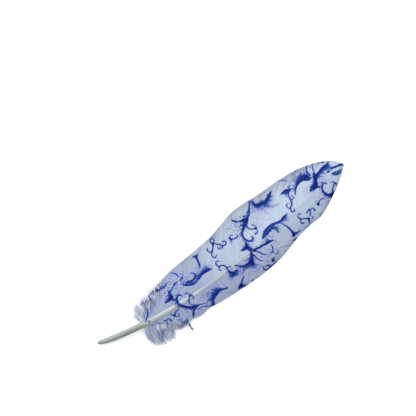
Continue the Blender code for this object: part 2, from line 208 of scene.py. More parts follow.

# The print, drawn over the photograph. Each stroke: how far its edge feathers out to the left and to
# the right of the way it runs, its strength, and its points as (u, v, half width), all in pixels.
PRINT_WIDTH = 0.88  # what a thin stroke's drawn half width is scaled by
PRINT_FINEST = 0.08  # least half width of a stroke, in millimetres
PRINT_BLUR = 0.28  # millimetres over which a stroke's edge fades
PRINT_REACH = 1.8  # what the drawn feathering is scaled by
PRINT_THIN = 0.78  # share of its ink that the thinnest stroke holds
PRINT_SEARCH = (3.2, 1.8)  # how far round a stroke is looked: times its feathering, plus millimetres
WASH_DEPTH = 3.2
PRINT_BATCH = 20000  # points of a mesh that are worked out at a time
# A stroke of negative strength is a painted highlight that clears the print along its line.
PRINT_STROKES = [
    # Tip
    (4.5, 0, 1, [(295.4, 194.5, 0.4), (295.6, 189.5, 0.8), (297, 185, 1.2), (299.3, 181, 2),
        (302.5, 178, 3.2), (306, 176.6, 3.1), (309, 175.4, 1.6), (310.3, 174.8, 0.6)]),
    (0, 0, 1, [(307.6, 165.2, 0.4), (306.7, 167, 0.7), (306.8, 169.5, 0.7), (307.6, 172.2, 0.8),
        (309.3, 174.6, 0.8), (310, 176, 0.7)]),
    (0, 0, 1, [(312.2, 163.6, 0.5), (312.6, 166, 0.6), (313, 168.5, 0.8), (313.4, 170, 0.7)]),
    (0, 0, 1, [(304.5, 180.3, 0.5), (307, 180.3, 0.9), (309.2, 179.2, 1.2), (310.6, 177.8, 1.3)]),
    (0, 2.2, 1, [(314.3, 170.8, 0.5), (314.4, 172.8, 0.9), (314.6, 175.5, 1.6), (315.1, 179, 2),
        (315.5, 182.5, 2), (315.2, 185.5, 2.6), (315, 187.2, 2.2)]),
    (1.5, 0, 1, [(310.6, 192.3, 0.4), (311.3, 189.8, 1.1), (313, 187.9, 1.6), (315.5, 186.6, 1.8),
        (317.8, 186.9, 1.2), (319.8, 187.5, 0.6)]),
    (0, 4.5, 1, [(315.2, 178, 1.5), (316.8, 175, 1.5), (319.3, 172.3, 1.4), (321.8, 169.4, 1.6),
        (324.4, 167, 1.8), (326.6, 164.8, 1.3), (328.4, 162, 0.5)]),
    (0, 0, 1, [(331.8, 168.4, 0.9), (334.3, 167.3, 1.2), (336.8, 166.3, 1.1), (339.4, 165.1, 1.2),
        (341.8, 164.5, 1.3), (343.2, 164.2, 0.8)]),
    (0, 0, 1, [(328.3, 172, 1), (330, 171.1, 0.5)]),
    (2, 0, 1, [(331, 173.2, 0.6), (333.4, 174, 0.9), (336.4, 174.4, 1), (339, 173.5, 1),
        (341.6, 171.8, 0.8)]),
    (0, 0, 0.65, [(334.6, 172, 0.5), (337, 171.4, 0.8), (339.5, 170.6, 0.9), (342, 169, 0.8)]),
    (0, 2.2, 1, [(326.4, 184, 0.5), (324.6, 183.2, 0.6), (322.9, 184.3, 0.8), (322.2, 186.8, 1),
        (322.5, 189.7, 1.1), (324, 192.3, 1.3), (326.6, 194.3, 1.5), (329.4, 195.3, 1.8), (332.2, 194.6, 2.2),
        (334, 192.4, 1.4)]),
    (0, 0, 1, [(334.2, 192.6, 1.2), (333, 190, 1), (333.4, 187.4, 0.7), (334.2, 185, 0.8), (335, 183.3, 1.2),
        (336.6, 183.6, 1), (337.5, 184.8, 0.5)]),
    (0, 0, 1, [(331.2, 182.6, 0.5), (332.6, 181.5, 0.5), (334.2, 182, 0.6)]),
    (0, 0, 1, [(331.6, 197.3, 0.9), (330.8, 195.8, 1.5)]),
    (0, 0, 1, [(318.4, 204.6, 1.1), (318.8, 202.6, 0.9), (319.9, 200.6, 0.7), (321.4, 199.2, 0.7),
        (323.2, 198.5, 0.8)]),
    (0, 0, 1, [(318.3, 203.9, 1.4), (318.6, 204.2, 1.4)]),
    (0, 0, 0.6, [(317.4, 203.4, 0.6), (315.6, 202.6, 0.5), (315.2, 201.2, 0.5), (316.8, 200.3, 0.5)]),
    (0, 0, 0.6, [(319.6, 205.1, 0.6), (321.6, 205.6, 0.5), (323.2, 204.4, 0.5), (322.7, 203, 0.6)]),
    (0, 0, 0.5, [(319.2, 197.4, 0.6), (320, 197.6, 0.4)]),
    (0, 0, 0.85, [(317.4, 161.8, 0.8), (318.6, 162.3, 1), (319.6, 161.9, 0.6)]),
    (0, 0, 0.7, [(310.2, 167, 0.7), (310.8, 167.6, 0.6)]),
    (0, 0, 0.9, [(321.4, 161.2, 0.8), (322.8, 162, 1), (324.2, 161.6, 0.5)]),
    # Upper curls by the narrow rim
    (0, 0, 1, [(310.2, 215, 1), (310.4, 213, 0.8), (310.1, 211, 0.8), (311, 209, 0.7), (312.8, 208.1, 0.7),
        (314.2, 208.8, 0.8), (314.9, 210.3, 1)]),
    (0, 0, 1, [(310.1, 210.2, 0.7), (308.7, 209.8, 1), (307.8, 211.2, 0.7), (306.8, 212.8, 1)]),
    (0, 0, 1, [(309, 217.6, 0.6), (308.9, 219, 1.4), (309.6, 221, 1), (310.1, 223, 0.8)]),
    (0, 0, 1, [(309.2, 218.8, 1.2), (306.8, 218.5, 0.8), (304.2, 218.4, 0.7), (302, 219, 0.7),
        (300.6, 220.6, 0.7), (301, 222.4, 0.7), (302.2, 223.5, 0.8), (303.6, 223.2, 1)]),
    (0, 0, 1, [(300.2, 218.7, 1), (298.6, 217.7, 0.8), (297.4, 216, 0.6), (297.7, 214.3, 0.5),
        (298.8, 213.6, 0.5), (300, 213.9, 1)]),
    (0, 0, 1, [(312.6, 216.6, 0.8), (312.8, 218.2, 0.8)]),
    (0, 0, 0.6, [(309.8, 224.4, 0.5), (307.8, 226, 0.6), (305.8, 227.5, 0.5)]),
    (0, 0, 0.6, [(320.8, 214.8, 0.9), (321.6, 214.4, 0.7)]),
    # Crescent wedge and hanging vine
    (0, 3, 1, [(281, 193.8, 0.5), (283.6, 192.2, 1.5), (286.4, 191.2, 2.1), (288.6, 189.8, 1.2),
        (290.3, 188.8, 0.8)]),
    (0, 0, 1, [(288.7, 190.4, 0.6), (288.2, 193.5, 0.6), (288.6, 196.5, 0.6), (290, 199.3, 0.8),
        (291.2, 201.8, 0.9), (291.5, 204.6, 0.9), (290.5, 207.2, 0.8), (290.2, 209.4, 0.8),
        (291.4, 211.4, 0.8), (293, 211.7, 0.7), (294.1, 210.5, 1), (293.8, 209.4, 0.7)]),
    (0, 0, 1, [(290.2, 199.3, 0.5), (292.3, 199.2, 0.6), (293.5, 197.8, 0.6), (292.9, 196.2, 0.5),
        (291.3, 195.6, 0.5)]),
    (0, 0, 1, [(290.2, 208.2, 0.6), (288.4, 208.2, 0.6), (286.8, 206.9, 0.6), (286.1, 205.3, 0.7),
        (286.8, 204.1, 0.5), (287.8, 203.6, 0.4)]),
    (0, 0, 0.8, [(278.4, 181.4, 0.5), (281, 180.3, 0.6), (283.6, 180.4, 0.7), (285.6, 180.3, 0.5)]),
    (0, 0, 0.5, [(288.4, 216.6, 0.6), (289, 216.6, 0.4)]),
    # Arc leaf
    (1, 4, 1, [(252.6, 201.8, 0.8), (253.4, 203.5, 1.2), (255.6, 205, 1.8), (258.4, 204.9, 1.9),
        (261.6, 203.5, 2.1), (264.6, 202.3, 2.3), (266.8, 199.8, 1.8), (268.3, 196.6, 1.3),
        (269.7, 193.7, 0.9), (270.7, 191.6, 0.4)]),
    (0, 0, 0.5, [(271.6, 199, 0.4), (269.8, 202, 0.5), (268.3, 205.5, 0.4)]),
    (0, 0, 0.5, [(262, 209.6, 0.5), (263.2, 208.6, 0.4)]),
    (0, 0, 0.4, [(264.4, 211.4, 0.4), (267, 213.2, 0.5), (270, 213.6, 0.4)]),
    (0, 0, 0.35, [(256.2, 216, 0.4), (257, 220.6, 0.4)]),
    # Tall scroll
    (0, 0, 0.9, [(248.6, 200.8, 0.4), (249.2, 204, 0.6), (248.9, 207.2, 0.8), (248.2, 210.4, 0.7),
        (246.6, 213.8, 0.6)]),
    (0, 2.4, 1, [(249.6, 208, 0.4), (249.4, 213, 0.7), (248.5, 215.4, 1), (247.3, 217.8, 1.3),
        (245.9, 221, 2.2), (244.4, 225, 2.1), (243, 228.8, 1.4), (242.2, 232, 1.1), (242.5, 235.4, 1.1),
        (244, 238.2, 1.1), (246.6, 240, 1), (249.4, 240.6, 0.9), (251.6, 239.7, 0.8), (252.3, 238, 0.8),
        (251.4, 236.7, 0.8)]),
    (0, 0, 1, [(231.6, 219.6, 0.6), (233, 220.8, 1), (235.8, 221.6, 1), (238.8, 221.4, 0.9),
        (241.6, 220.8, 1.2), (244.4, 219.8, 1.8)]),
    (0, 0, 1, [(243.4, 216.4, 0.9), (244, 216.2, 0.7)]),
    (0, 0, 1, [(246.9, 225.6, 0.6), (247.3, 227.2, 0.8), (249.2, 228.7, 0.8), (251.6, 229, 0.7),
        (253.8, 228.4, 0.8), (255.4, 228, 1.2), (255.2, 226.4, 0.6), (253.6, 225.1, 0.5),
        (251.8, 224.9, 0.7)]),
    (0, 0, 1, [(256.2, 228.8, 0.6), (257, 230.6, 0.6), (256.6, 232.6, 0.8), (255, 233.6, 0.9),
        (254.4, 232.6, 0.4)]),
    (0, 0, 0.5, [(245.2, 231, 0.7), (245.8, 231.4, 0.5)]),
    # Small C
    (0, 0, 1, [(229.8, 236.8, 0.8), (229.6, 238, 1.1), (230.8, 239.2, 1.2), (233, 238.8, 0.9),
        (235.4, 238, 0.7), (237, 236.6, 0.9), (237.2, 235.2, 0.6), (236, 234.6, 0.3)]),
    (0, 0, 1, [(229.9, 236.6, 0.6), (230.4, 235.2, 0.5), (232.2, 234.8, 0.9)]),
    (0, 0, 0.8, [(230.8, 239.4, 0.9), (231.3, 241.6, 0.6), (231.4, 243.4, 0.5)]),
    (0, 0, 0.5, [(225, 229.8, 0.4), (227.8, 228.6, 0.5), (230.8, 228.6, 0.5), (233.2, 230, 0.5),
        (235, 232, 0.4)]),
    # Sprig
    (0, 0, 1, [(213.2, 243.2, 1.3), (212.9, 246.2, 0.9), (212.6, 248.8, 0.8), (212, 251.4, 0.9),
        (211.6, 253.6, 0.8), (212.3, 255.8, 0.7), (214, 257.2, 0.8), (215.6, 256.6, 0.7),
        (216.4, 254.9, 0.7)]),
    (0, 0, 1, [(213.2, 243.6, 1.1), (211.2, 242.8, 0.8), (209.8, 240.9, 0.6), (210.4, 239.2, 0.5),
        (212.2, 238.7, 0.7), (213.8, 240, 0.7), (214, 241.6, 0.4)]),
    (0, 0, 1, [(213, 243.6, 1), (214.9, 243.3, 0.7)]),
    (0, 0, 1, [(212.4, 250.8, 0.6), (210.2, 251.9, 0.7), (208.2, 251.2, 0.7), (207.2, 249.4, 0.8),
        (207.6, 248.2, 0.6)]),
    (0, 0, 1, [(216, 244.2, 0.7), (218.4, 244, 0.9), (220.6, 244.8, 0.8), (223, 245.3, 0.8),
        (225.2, 244.4, 0.7), (226, 242.7, 0.7), (225.2, 241.3, 0.7), (223.8, 241.1, 0.7),
        (222.4, 241.6, 0.9)]),
    (0, 0, 1, [(222.7, 245.4, 0.8), (222.4, 246.8, 1), (222.6, 248, 0.6)]),
    (0, 0, 1, [(217.6, 246.6, 0.4), (218.2, 248.2, 0.7), (219.6, 248.8, 0.7), (220.5, 247.6, 0.6),
        (219.8, 246.4, 0.5)]),
    # Vine hook and wedge
    (0, 0, 1, [(218.6, 260.8, 0.8), (217.2, 260.6, 0.6), (215.9, 261.8, 0.7), (216, 263.6, 0.8),
        (217.5, 265.3, 0.8), (219.3, 265.9, 0.8), (221.4, 265, 0.9), (223.7, 265, 0.9), (225.8, 266.3, 0.9),
        (227.2, 268.4, 0.9), (228.6, 270.3, 0.9), (230.6, 271.5, 1.1)]),
    (0, 0, 1, [(219.4, 266, 0.7), (218.8, 267.8, 0.7), (219.6, 269.4, 0.7), (221.2, 269.6, 0.7)]),
    (0, 0, 1, [(227.2, 267.6, 0.5), (228.2, 266.2, 0.6), (229.6, 265.8, 0.6), (230.4, 267, 0.6),
        (230.2, 268.4, 0.4)]),
    (0, 2.5, 1, [(229, 270.8, 0.8), (231.2, 272.4, 1.4), (233.4, 272.6, 1.7), (235.2, 271, 1.1),
        (237, 269.6, 0.7)]),
    (1.5, 2.2, 1, [(230.6, 276.6, 0.8), (232.6, 275.2, 1.3), (234.2, 273.2, 1.5)]),
    # Strong bow
    (1.2, 0, 1, [(240.8, 250.4, 0.5), (242.8, 249.6, 1.2), (244.8, 248.2, 1.7), (246.2, 246.4, 1.7),
        (246.1, 244, 1), (245.5, 242, 0.5)]),
    (1.2, 0, 1, [(245.6, 243, 0.8), (246.8, 246, 2.2), (249.2, 248.3, 2.2), (252, 249.8, 1.5),
        (255, 249, 1.3), (258, 247.8, 1.2), (261.2, 246.1, 1), (264, 244.4, 1.2), (266.8, 242.6, 1.6),
        (269.6, 241.2, 1.3), (272, 240.5, 0.8)]),
    (0.8, 1.5, 1, [(250.9, 249.8, 1.1), (250.8, 252.2, 1.2), (251, 254, 1.6), (251.2, 256.6, 2.3),
        (251, 259.4, 3.2), (250.6, 261.8, 3.7)]),
    (4.5, 0, 1, [(252.8, 263, 1.6), (250, 262.6, 1.8), (247.2, 263.9, 1.2), (244.2, 265.2, 1),
        (241, 265.6, 0.8), (238, 265.2, 0.6), (235.8, 264.4, 0.5)]),
    (0, 0, 1, [(252.2, 254.2, 0.9), (254.2, 255.2, 0.9), (255.8, 257.2, 0.8), (257.9, 258.9, 0.8),
        (260.4, 260.4, 0.7), (263, 260.8, 0.4)]),
    (0, 0, 1, [(253, 250.4, 1), (256.4, 251.2, 0.8), (259.6, 252.3, 0.8), (262.4, 253.7, 0.8),
        (265, 254.6, 0.5), (267, 254.2, 0.3)]),
    (0, 0, 0.5, [(256.4, 254.4, 0.4), (258.8, 256.4, 0.5), (261.4, 257, 0.5)]),
    (0, 0, 0.5, [(258, 262.6, 0.5), (257.4, 263.8, 0.4)]),
    # Long stroke
    (0, 2.2, 1, [(262.2, 237.7, 0.9), (263, 235, 1), (264.2, 231.8, 1.1), (266.2, 228.8, 1.1),
        (268.8, 226.2, 1.1), (272, 224.3, 1.1), (275.4, 223, 1.1), (278.6, 221.7, 1.1), (281.4, 219.8, 1.4),
        (283.4, 217.6, 1.6), (285, 215.4, 0.9), (286, 213.6, 0.4)]),
    (1.6, 0, 1, [(266.6, 234.2, 1.1), (268, 232, 1.3), (269.8, 229.9, 1.2), (272.2, 228.3, 1),
        (274.8, 228.6, 0.8), (276.6, 230, 0.6), (277.3, 231.8, 0.6)]),
    (0, 0, 1, [(280.6, 223.4, 0.4), (283.8, 224.8, 0.7), (286.4, 226.1, 0.9), (289, 228.3, 1),
        (291.4, 230.8, 1.1), (293.2, 233, 1.5), (294, 235.2, 1.7), (294.1, 236.9, 1)]),
    (0, 0, 1, [(294.2, 233.9, 1.6), (296.6, 233.2, 1.2), (298.8, 231.9, 0.9), (300.4, 230.3, 0.5)]),
    (0, 0, 1, [(293.6, 240.6, 0.8), (295.6, 239.2, 1.3), (297.4, 238.6, 1.2)]),
    (0, 0, 0.4, [(276.6, 239.6, 0.4), (277.8, 243, 0.5), (276.4, 246.6, 0.7)]),
    (0, 0, 0.6, [(271.8, 240.4, 0.5), (274.6, 241, 0.5), (276.4, 242.4, 0.5)]),
    # Curls right of the bow
    (0, 0, 1, [(270.6, 244.9, 0.5), (272, 246.4, 0.8), (272.8, 248.5, 0.8), (272.6, 250.4, 0.7)]),
    (0, 0, 0.8, [(270.6, 252.8, 0.6), (272, 252.2, 1.1), (273.2, 251.4, 0.6)]),
    (0, 0, 0.75, [(273.4, 251.6, 0.5), (274.9, 253.4, 0.7), (276.8, 254, 0.7), (278.2, 252.9, 0.8),
        (278.2, 251, 0.8), (276.8, 250.3, 0.5)]),
    (0, 0, 0.5, [(269.4, 248.4, 0.5), (269.6, 250.2, 0.6)]),
    (0, 0, 0.5, [(271.6, 242.4, 0.4), (272.8, 243.6, 0.4)]),
    (0, 0, 1, [(274.5, 256.8, 0.5), (274, 258.8, 1.1), (273.4, 260.8, 1.6), (273.2, 262.2, 0.9)]),
    (0, 0, 1, [(272, 258.6, 0.6), (273, 260, 1)]),
    (0, 0, 1, [(277.6, 261.6, 0.6), (275.6, 263.2, 0.8), (273.2, 265.2, 0.7), (270.6, 267.2, 1),
        (268.2, 269.2, 0.7), (266, 270.2, 0.9), (264.2, 269, 0.8), (263.3, 267.2, 0.7),
        (262.8, 265.6, 0.4)]),
    (0, 0, 1, [(265.2, 266.9, 0.6), (267, 265.6, 0.8), (269.2, 265.3, 0.9), (270.8, 266.4, 1)]),
    (0, 0, 0.5, [(285, 251.6, 0.6), (285.6, 253, 0.5)]),
    # Upright with a foot by the narrow rim
    (1, 0, 1, [(243.4, 276.6, 0.7), (242.6, 279, 0.9), (241.9, 282, 0.9), (241.3, 284.3, 1.3),
        (240.6, 286.4, 1.9), (239.2, 288.6, 1.2)]),
    (0, 0, 1, [(241.4, 285.2, 1.4), (243.4, 285.9, 1.3), (246, 286, 1.1), (248, 285, 0.6)]),
    (0, 0, 1, [(241, 286, 1.4), (242.6, 287.4, 1)]),
    (0, 0, 0.9, [(252.4, 280.6, 1), (254, 280.4, 0.6)]),
    # T stroke of the broad vane
    (0, 0, 1, [(192.4, 257.4, 0.6), (194.4, 256.4, 1), (196.3, 256, 1.2), (197.6, 254.4, 0.6),
        (198.6, 252.8, 0.3)]),
    (0, 0, 1, [(195.8, 256.4, 1.4), (197, 258.8, 1.2), (198.4, 261.8, 1.1), (199.7, 264.8, 1.1),
        (199.8, 267.2, 0.8)]),
    # S leaf
    (3, 0, 1, [(183.4, 284.6, 0.7), (186, 284.9, 0.9), (189.4, 284.6, 0.9), (192.8, 283.6, 1),
        (195.8, 281.7, 1), (198.2, 279, 1.1), (200, 276.2, 1.2), (201.8, 273.4, 1.5), (204.2, 271.2, 1.9),
        (207, 269.8, 1.7), (210, 268.9, 0.9), (211.8, 268.2, 0.3)]),
    (0, 1.6, 1, [(187.4, 281.2, 1), (190, 281, 1.3), (192.4, 280, 1.2), (194.2, 278.2, 1.1), (195, 275.8, 1),
        (194.4, 273.7, 0.7), (192.6, 272.7, 0.6), (191, 273, 0.4)]),
    (0, 0, 0.8, [(196.2, 275.2, 0.7), (197.4, 275.4, 0.9)]),
    (0, 0, 0.35, [(186, 276.4, 0.4), (187.4, 277.4, 0.4)]),
    (0, 0, 1, [(171.4, 273, 0.5), (174, 273.1, 0.6), (176.2, 274, 0.8), (177.9, 275.7, 0.9)]),
    (0, 0, 1, [(182.9, 276.4, 0.6), (181.9, 278.2, 1), (180.2, 279.8, 0.7)]),
    (0, 0, 0.5, [(183.4, 271.8, 0.5), (183, 274.8, 0.5)]),
    (0, 0, 0.9, [(177.6, 281.2, 0.7), (175.2, 283.8, 0.8), (173.2, 286.8, 1), (171.6, 289.4, 0.8),
        (170.2, 291.6, 1.1)]),
    # Dark plume by the narrow rim
    (0, 5, 1, [(227.4, 288.4, 0.4), (224.6, 288.9, 0.9), (221.4, 289.6, 1.1), (218.6, 290.7, 1.7),
        (216.4, 293, 2.1), (214.2, 295.6, 2.3), (213, 298.4, 1.9), (213, 301, 1.3), (214.2, 303.6, 0.9),
        (215.2, 304.8, 0.5)]),
    (0, 0, 0.4, [(220, 293.4, 0.4), (222.6, 292.2, 0.4)]),
    (0, 0, 0.4, [(236.2, 291, 0.5), (235.2, 289.6, 0.5)]),
    # Cup round the shaft
    (0, 1.8, 1, [(181.8, 295.6, 0.5), (180, 294.6, 0.6), (178.2, 295.2, 0.8), (177.2, 297.4, 1.1),
        (177.4, 300.2, 1.4), (178.8, 303, 1.6), (181.4, 305, 1.6), (185, 306, 1.4), (188.8, 307, 1.6),
        (192.4, 307.2, 1.7), (195.8, 306.4, 1.5), (197.8, 305.4, 0.8)]),
    (0, 0, 1, [(190.4, 303.4, 0.5), (193, 304.5, 0.9), (196.4, 304.8, 0.9), (200, 304.3, 0.8),
        (203.4, 303.6, 0.6), (205.4, 303.2, 0.3)]),
    (0, 0, 0.85, [(198.4, 309.2, 0.4), (200.6, 307.4, 0.5), (203.6, 306.4, 0.6), (207, 306.2, 0.7),
        (210, 306.5, 0.7), (212.6, 305.2, 0.7), (214.4, 304.4, 0.6)]),
    (0, 0, 1, [(189.6, 302.8, 0.8), (189, 300, 0.9), (189.2, 297.2, 0.9), (190.2, 295.2, 1.2),
        (192, 294.6, 1.1), (193.2, 296.2, 0.8), (193.6, 298.4, 0.6)]),
    (0, 0, 1, [(190.2, 295, 0.8), (188.8, 292.9, 0.7), (187, 292, 0.7), (185.4, 292.9, 0.7),
        (185.2, 293.9, 0.4)]),
    # Dark wedge with a thorn
    (0.6, 2.6, 1, [(168.8, 291.2, 0.8), (169.6, 293.4, 1.2), (170.4, 295.8, 2), (170.4, 297.8, 2.4),
        (168.8, 299.6, 1.9), (167, 301.2, 1.1), (165.8, 302.6, 0.5)]),
    (0, 0, 1, [(170.6, 297.6, 1.8), (172.6, 298.7, 1.4), (174.4, 299.4, 1), (176, 300, 0.5)]),
    (0, 0, 1, [(171.8, 293.8, 0.7), (172.4, 296.6, 1.4)]),
    # Line along the base edge of the broad vane
    (1.5, 0, 0.95, [(147.6, 298, 0.5), (149.4, 296, 0.9), (151.4, 293.6, 1.3), (153.8, 291.3, 1.8),
        (156.6, 289.8, 1.9), (159.4, 288.5, 1.7), (162.4, 287.4, 1.2), (165.4, 286.3, 0.5)]),
    (0, 0, 0.8, [(157.8, 284.4, 1.1), (158.4, 285.6, 0.9)]),
    (0, 0, 0.85, [(166, 283.9, 0.9), (166.1, 285.6, 0.7)]),
    (0, 0, 0.6, [(167.6, 282.2, 0.4), (166.6, 283.4, 0.5)]),
    # Base vine
    (0, 0, 1, [(140.4, 304.6, 1.2), (142.6, 303.2, 0.9), (145.4, 301.8, 0.8), (148.2, 300.4, 0.9),
        (150.6, 299.2, 1.1), (151.6, 298.6, 0.8)]),
    (0, 0, 0.7, [(151.6, 299.4, 0.8), (151.6, 302.4, 0.5), (152, 305.2, 0.3)]),
    (0, 0, 1, [(145, 302.4, 0.5), (144.8, 305, 0.6), (145.9, 307.8, 0.7), (147.3, 309.8, 0.9), (148, 312, 1),
        (148, 314.4, 1.1), (147.2, 316.6, 0.8), (146.4, 318.8, 0.8), (146.5, 320.6, 0.9)]),
    (0, 0, 0.8, [(150.2, 303.2, 0.3), (150.6, 305.8, 0.5), (149.9, 308, 0.9), (148.3, 309.4, 0.6)]),
    (0, 0, 0.7, [(145.2, 310.2, 0.3), (144, 312.6, 0.4), (144, 315, 0.5), (145, 316.8, 0.7)]),
    (0, 0, 1, [(149.4, 319.4, 0.4), (149.6, 320.8, 1.1)]),
    # Small curls of the narrow vane
    (0, 0, 1, [(179.4, 309, 0.5), (177.6, 309.6, 0.8), (176, 311.2, 0.8), (175, 313.4, 1),
        (174.8, 315, 1.3)]),
    (0, 0, 1, [(174.6, 315, 1.2), (172.8, 314.8, 0.8), (171.5, 313.6, 0.6), (171.4, 312.4, 0.4)]),
    (0, 0, 1, [(175, 315.6, 0.8), (177, 316.3, 0.6), (179, 315.6, 0.5), (179.2, 314, 0.5),
        (178, 313.2, 0.5)]),
    (0, 0, 1, [(164.4, 320.4, 0.9), (166.2, 320, 0.8), (167.6, 318.8, 0.7), (169.2, 318.2, 0.7),
        (170.6, 319.2, 0.9), (171.1, 320.4, 1.1)]),
    (0, 0, 0.85, [(166.8, 320.8, 0.6), (167.4, 323, 0.7), (166.9, 325.6, 0.5)]),
    (0, 0, 1, [(165.8, 329.6, 0.7), (164.1, 331, 0.9), (162.8, 333, 0.8)]),
    (0, 0, 0.8, [(160, 329.2, 0.5), (162, 331, 0.7)]),
    (0, 0, 1, [(194.8, 308.4, 1), (193.9, 310.6, 1.1), (193.5, 313.2, 1.2), (193.4, 315.8, 1.1),
        (193.5, 317.4, 0.8)]),
    (0, 0, 0.5, [(171.6, 302.3, 0.7), (173, 302.6, 0.6)]),
    (0, 0, 0.4, [(174.8, 302, 0.5), (175.6, 302.6, 0.4)]),
    (3.5, 1.5, 0.85, [(179.8, 327.6, 0.9), (182.4, 327.2, 1.7), (185, 325, 1.9), (187.2, 321.6, 1.3)]),
    (1.5, 0, 0.7, [(181.6, 322.4, 0.5), (183.6, 322.6, 0.9), (185.6, 321.4, 0.8)]),
    (1.2, 1.2, 0.5, [(157.4, 331.5, 0.5), (159, 335.4, 0.8), (160.8, 340.8, 0.5)]),
    (1.2, 1.2, 0.55, [(162.6, 333, 0.6), (162.2, 336.4, 0.8), (163.2, 340.6, 0.4)]),
    (1, 1, 0.5, [(167.4, 326.4, 0.6), (168, 331, 0.7), (167.2, 334.6, 0.4)]),
    (1, 1, 0.45, [(171.8, 324.6, 0.4), (172.6, 329, 0.6), (173.8, 333.6, 0.4)]),
    (1, 1, 0.4, [(152.4, 324.2, 0.4), (153, 330, 0.6), (155.6, 336.4, 0.4)]),
    # Painted highlights: light lines along barb edges that stand up, where the print is cleared
    (0, 0, -0.75, [(300.6, 170.2, 0.35), (304.4, 172.4, 0.5), (308.4, 175.2, 0.4)]),
    (0, 0, -0.7, [(308.6, 175.4, 0.5), (311.2, 177.2, 0.5)]),
    (0, 0, -1.3, [(327.4, 175.4, 0.9), (331.6, 172.2, 1), (336, 169.5, 1.05), (342.4, 166.7, 1)]),
    (0, 0, -1.2, [(292.2, 239.9, 0.8), (294.8, 237.8, 0.9), (297.8, 236, 0.7)]),
]
# Haze with no stroke in it: the middle, the radius and the strength of each patch.
PRINT_WASHES = [
    (214, 288, 10.5, 0.16), (209, 298, 8, 0.2), (246, 269, 8, 0.22), (240, 226, 7.5, 0.2),
    (259, 212, 9, 0.1), (290, 185, 6, 0.2), (327, 168, 5.5, 0.22), (341, 167, 3, 0.3),
    (174, 286, 12, 0.2), (182, 277, 9.5, 0.2), (160, 290, 11, 0.22), (152, 303, 9, 0.18),
    (266, 256, 11, 0.13), (299, 171, 5.5, 0.16), (327, 200, 6, 0.16), (209, 267, 4, 0.2),
    (214, 238, 4.5, 0.12), (224, 242, 9, 0.07), (236, 268, 6.5, 0.14), (256, 226, 8, 0.08),
    (270, 238, 5.5, 0.16), (276, 227, 5.5, 0.14), (184, 311, 11, 0.12), (168, 316, 9, 0.08),
    (177, 325, 8, 0.15), (318, 163, 6, 0.18), (308, 190, 6, 0.14), (303, 224, 6.5, 0.08),
    (160, 335, 11, 0.1), (241, 243, 4, 0.14), (200, 310, 7.5, 0.16), (244, 287, 5.5, 0.14),
]


def along(points, x):
    """Smooth curve through (station, value) points, without overshoot between them."""
    px, py = np.array(points, float).T
    slopes = np.diff(py) / np.diff(px)
    tangents = np.empty_like(py)
    tangents[0], tangents[-1] = slopes[0], slopes[-1]
    before, after = slopes[:-1], slopes[1:]
    total = np.where(before + after == 0, 1.0, before + after)
    tangents[1:-1] = np.where(before * after <= 0, 0.0, 2 * before * after / total)
    x = np.clip(np.asarray(x, float), px[0], px[-1])
    i = np.clip(np.searchsorted(px, x, side="right") - 1, 0, len(px) - 2)
    step = px[i + 1] - px[i]
    s = (x - px[i]) / step
    return (
        (1 + 2 * s) * (1 - s) ** 2 * py[i]
        + s * (1 - s) ** 2 * step * tangents[i]
        + s * s * (3 - 2 * s) * py[i + 1]
        + s * s * (s - 1) * step * tangents[i + 1]
    )


def straight(points, x, column):
    """Plain interpolation of one column of a table against its first."""
    table = np.array(points, float)
    return np.interp(x, table[:, 0], table[:, column])


def ease(low, high, x):
    """Rises smoothly from 0 to 1 as x goes from low to high."""
    s = np.clip((np.asarray(x, float) - low) / (high - low), 0.0, 1.0)
    return s * s * (3 - 2 * s)


NOISE_SIZE = 8192
NOISE = np.random.default_rng(7).random(NOISE_SIZE)


def ripple(x, seed):
    """Smooth noise between 0 and 1 that changes about once for each unit of x."""
    x = np.asarray(x, float) + seed * 61.7 + 500.0
    low = np.floor(x).astype(int)
    s = x - low
    s = s * s * (3 - 2 * s)
    return NOISE[low % NOISE_SIZE] * (1 - s) + NOISE[(low + 1) % NOISE_SIZE] * s


def mottle(x, y, seed):
    """Smooth noise over the plan, between 0 and 1, with patches about one unit across."""
    x, y = np.asarray(x, float) + 300.0 + seed * 17.3, np.asarray(y, float) + 300.0 + seed * 9.1
    i, j = np.floor(x).astype(int), np.floor(y).astype(int)
    s, t = x - i, y - j
    s, t = s * s * (3 - 2 * s), t * t * (3 - 2 * t)
    near, far = [[NOISE[(i + a + 97 * (j + b)) % NOISE_SIZE] for a in (0, 1)] for b in (0, 1)]
    return (near[0] * (1 - s) + near[1] * s) * (1 - t) + (far[0] * (1 - s) + far[1] * s) * t


def shaft_line(station):
    """Point on the shaft seen from above, and the direction square to it towards the broad vane."""
    station = np.asarray(station, float)
    share = np.clip(station / LENGTH, 1e-6, 1.0)
    bend = math.pi * share**BOW_SKEW
    slope = -BOW * np.cos(bend) * math.pi * BOW_SKEW * share ** (BOW_SKEW - 1) / LENGTH
    size = np.hypot(1.0, slope)
    return np.stack([station, -BOW * np.sin(bend)], -1), np.stack([-slope / size, 1 / size], -1)


def arch(station):
    return ARCH * np.sin(math.pi * (np.asarray(station, float) / LENGTH) ** ARCH_SKEW)


def half_height(station):
    return along(SHAFT_HALF_WIDTH, station) * SHAFT_TALLER


def barrel_end_height():
    """Height of the middle of the barrel's end, where the barrel just touches its surface."""
    station = np.arange(0.0, VANE_START, 0.5)
    share = station / LENGTH
    return float(np.max((half_height(station) - arch(station) - TIP_MIDDLE * share) / (1 - share)))


BARREL_END = barrel_end_height()


def shaft_height(station):
    share = np.asarray(station, float) / LENGTH
    return arch(station) + BARREL_END * (1 - share) + TIP_MIDDLE * share


